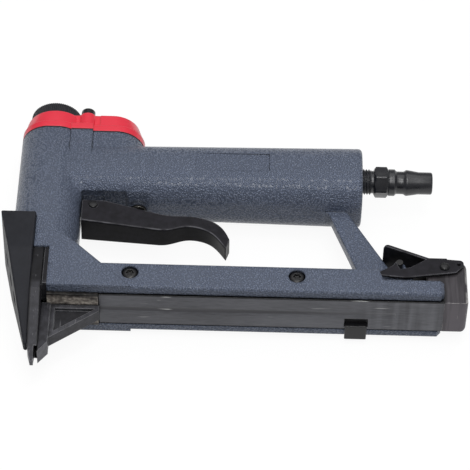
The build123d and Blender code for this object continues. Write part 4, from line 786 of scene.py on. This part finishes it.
def make_trigger_pin():
    """A plain pin with eased ends."""
    end = near_place(TRIGGER_PIN_HALF, TRIGGER_PIN_RADIUS, TRIGGER_PIN_END)
    end.append((TRIGGER_PIN_HALF, 0.0))
    verts, faces = turned(both_ends(end), (*TRIGGER_PIN, 0), (0, 0, 1), (1, 0, 0), PIN_SEGMENTS)
    pin = make_object("trigger_pivot_pin", verts, faces, "frame", "screws")
    smooth_by_angle(pin, PIN_SMOOTH)
    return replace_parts(pin, "trigger_pin")


def make_latch_rivet():
    """A pin with a domed head at either end."""
    end = [(RIVET_SEAT, LATCH_PIN_RADIUS)]
    end += near_place(RIVET_SEAT, RIVET_HEAD, RIVET_DOME)
    end.append((RIVET_SEAT + RIVET_RISE, 0.0))
    verts, faces = turned(both_ends(end), (*LATCH_PIN, 0), (0, 0, 1), (1, 0, 0), PIN_SEGMENTS)
    rivet = make_object("latch_rivet", verts, faces, "magazine", "screws")
    smooth_by_angle(rivet, PIN_SMOOTH)
    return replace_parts(rivet, "latch_pin")


def make_spring(name, node, body, size, axis):
    """A wound spring along one axis."""
    verts, faces = coil(axis=axis, side=(0, 0, 1), **size)
    wire = make_object(name, verts, faces, body, "spring_steel")
    smooth_by_angle(wire, WIRE_SMOOTH)
    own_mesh(wire)
    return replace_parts(wire, node)


made_pieces = [
    make_plug(),
    make_rail_screws(),
    make_trigger_pin(),
    make_latch_rivet(),
    make_spring("pusher_coil", "pusher_spring", "magazine",
                PUSHER_SPRING, (1, 0, 0)),
    make_spring("head_valve_coil", "head_valve_spring", "frame",
                HEAD_SPRING, (0, 1, 0)),
    make_spring("stem_coil", "trigger_valve_spring", "frame",
                STEM_SPRING, (0, 1, 0)),
]


def round_edges(obj, width):
    """Rounds the edges of a sheet piece, after its flat faces are made whole again."""
    weld = obj.modifiers.new("joined_faces", "WELD")
    weld.merge_threshold = WELD_REACH * MM
    flat = obj.modifiers.new("whole_faces", "DECIMATE")
    flat.decimate_type = "DISSOLVE"
    flat.angle_limit = FLAT_WITHIN
    rounding = obj.modifiers.new("rounded_edges", "BEVEL")
    rounding.width = width * MM
    rounding.segments = ROUNDED_SEGMENTS
    rounding.limit_method = "ANGLE"
    rounding.angle_limit = ROUNDED_FROM
    rounding.use_clamp_overlap = False
    obj.modifiers.new("even_shading", "WEIGHTED_NORMAL")


for name, width in ROUNDED_EDGES.items():
    round_edges(nodes[name], width)

# Every piece and node takes the material of its slot
slot_of = {part["node"]: part["material_slot"] for part in frame["record"]["subparts"]}
for name, obj in nodes.items():
    obj.data.materials.clear()
    obj.data.materials.append(MATERIALS[slot_of[name]])
for obj in made_pieces:
    obj.data.materials.clear()
    obj.data.materials.append(MATERIALS[obj["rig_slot"]])


# Stage
def make_floor():
    """A floor that looks white but for the tool's soft shadow, and sends little light back up."""
    half = FLOOR_HALF
    mesh = bpy.data.meshes.new("floor")
    corners = [(-half, -half, 0), (half, -half, 0), (half, half, 0), (-half, half, 0)]
    mesh.from_pydata(corners, [], [(0, 1, 2, 3)])
    floor = bpy.data.objects.new("floor", mesh)
    floor.location.z = -FLOOR_DROP * MM
    bpy.context.scene.collection.objects.link(floor)
    material, tree, shader = new_material("pale_floor")
    tree.nodes.remove(shader)
    rays = add(tree, "ShaderNodeLightPath")
    seen = most(tree, rays.outputs["Is Camera Ray"], rays.outputs["Is Glossy Ray"])
    seen = most(tree, seen, rays.outputs["Is Transmission Ray"])
    plain = add(tree, "ShaderNodeBsdfDiffuse", {"Color": (FLOOR_GREY, FLOOR_GREY, FLOOR_GREY, 1)})
    shaded_colour = (FLOOR_SHADED_GREY, FLOOR_SHADED_GREY, FLOOR_SHADED_GREY, 1)
    shadowed = add(tree, "ShaderNodeBsdfDiffuse", {"Color": shaded_colour})
    glow = add(tree, "ShaderNodeEmission", {"Color": (1, 1, 1, 1), "Strength": FLOOR_GLOW})
    bright = add(tree, "ShaderNodeAddShader", {0: shadowed.outputs["BSDF"], 1: glow.outputs["Emission"]})
    both = add(tree, "ShaderNodeMixShader", {0: seen, 1: plain.outputs["BSDF"], 2: bright.outputs["Shader"]})
    tree.links.new(both.outputs["Shader"], tree.nodes["Material Output"].inputs["Surface"])
    mesh.materials.append(material)


def make_light(name, stands_at, size, power):
    data = bpy.data.lights.new(name, "AREA")
    data.shape = "RECTANGLE"
    data.size, data.size_y = size
    data.energy = power
    lamp = bpy.data.objects.new(name, data)
    lamp.location = stands_at
    lamp.rotation_mode = "QUATERNION"
    lamp.rotation_quaternion = (Vector(LIGHT_TARGET) - Vector(stands_at)).to_track_quat("-Z", "Y")
    bpy.context.scene.collection.objects.link(lamp)


def make_camera():
    toward = Vector((0, -cos(ELEVATION), sin(ELEVATION)))
    right = Vector((cos(ROLL), sin(ROLL) * sin(ELEVATION), sin(ROLL) * cos(ELEVATION)))
    up = Vector((-sin(ROLL), cos(ROLL) * sin(ELEVATION), cos(ROLL) * cos(ELEVATION)))
    data = bpy.data.cameras.new("photo_camera")
    data.lens = LENS
    data.sensor_width = SENSOR
    data.clip_start = CLIP_START
    data.clip_end = CLIP_END
    camera = bpy.data.objects.new("photo_camera", data)
    turn = Matrix((right, up, toward)).transposed().to_4x4()
    camera.matrix_world = Matrix.Translation((Vector(AIM) + toward * DISTANCE) * MM) @ turn
    bpy.context.scene.collection.objects.link(camera)
    bpy.context.scene.camera = camera


def make_sky():
    world = bpy.data.worlds.new("studio")
    world.use_nodes = True
    background = world.node_tree.nodes["Background"]
    background.inputs["Color"].default_value = (1, 1, 1, 1)
    background.inputs["Strength"].default_value = SKY_STRENGTH
    bpy.context.scene.world = world


make_floor()
for light in LIGHTS:
    make_light(*light)
make_camera()
make_sky()
bpy.context.scene.view_settings.view_transform = "Standard"
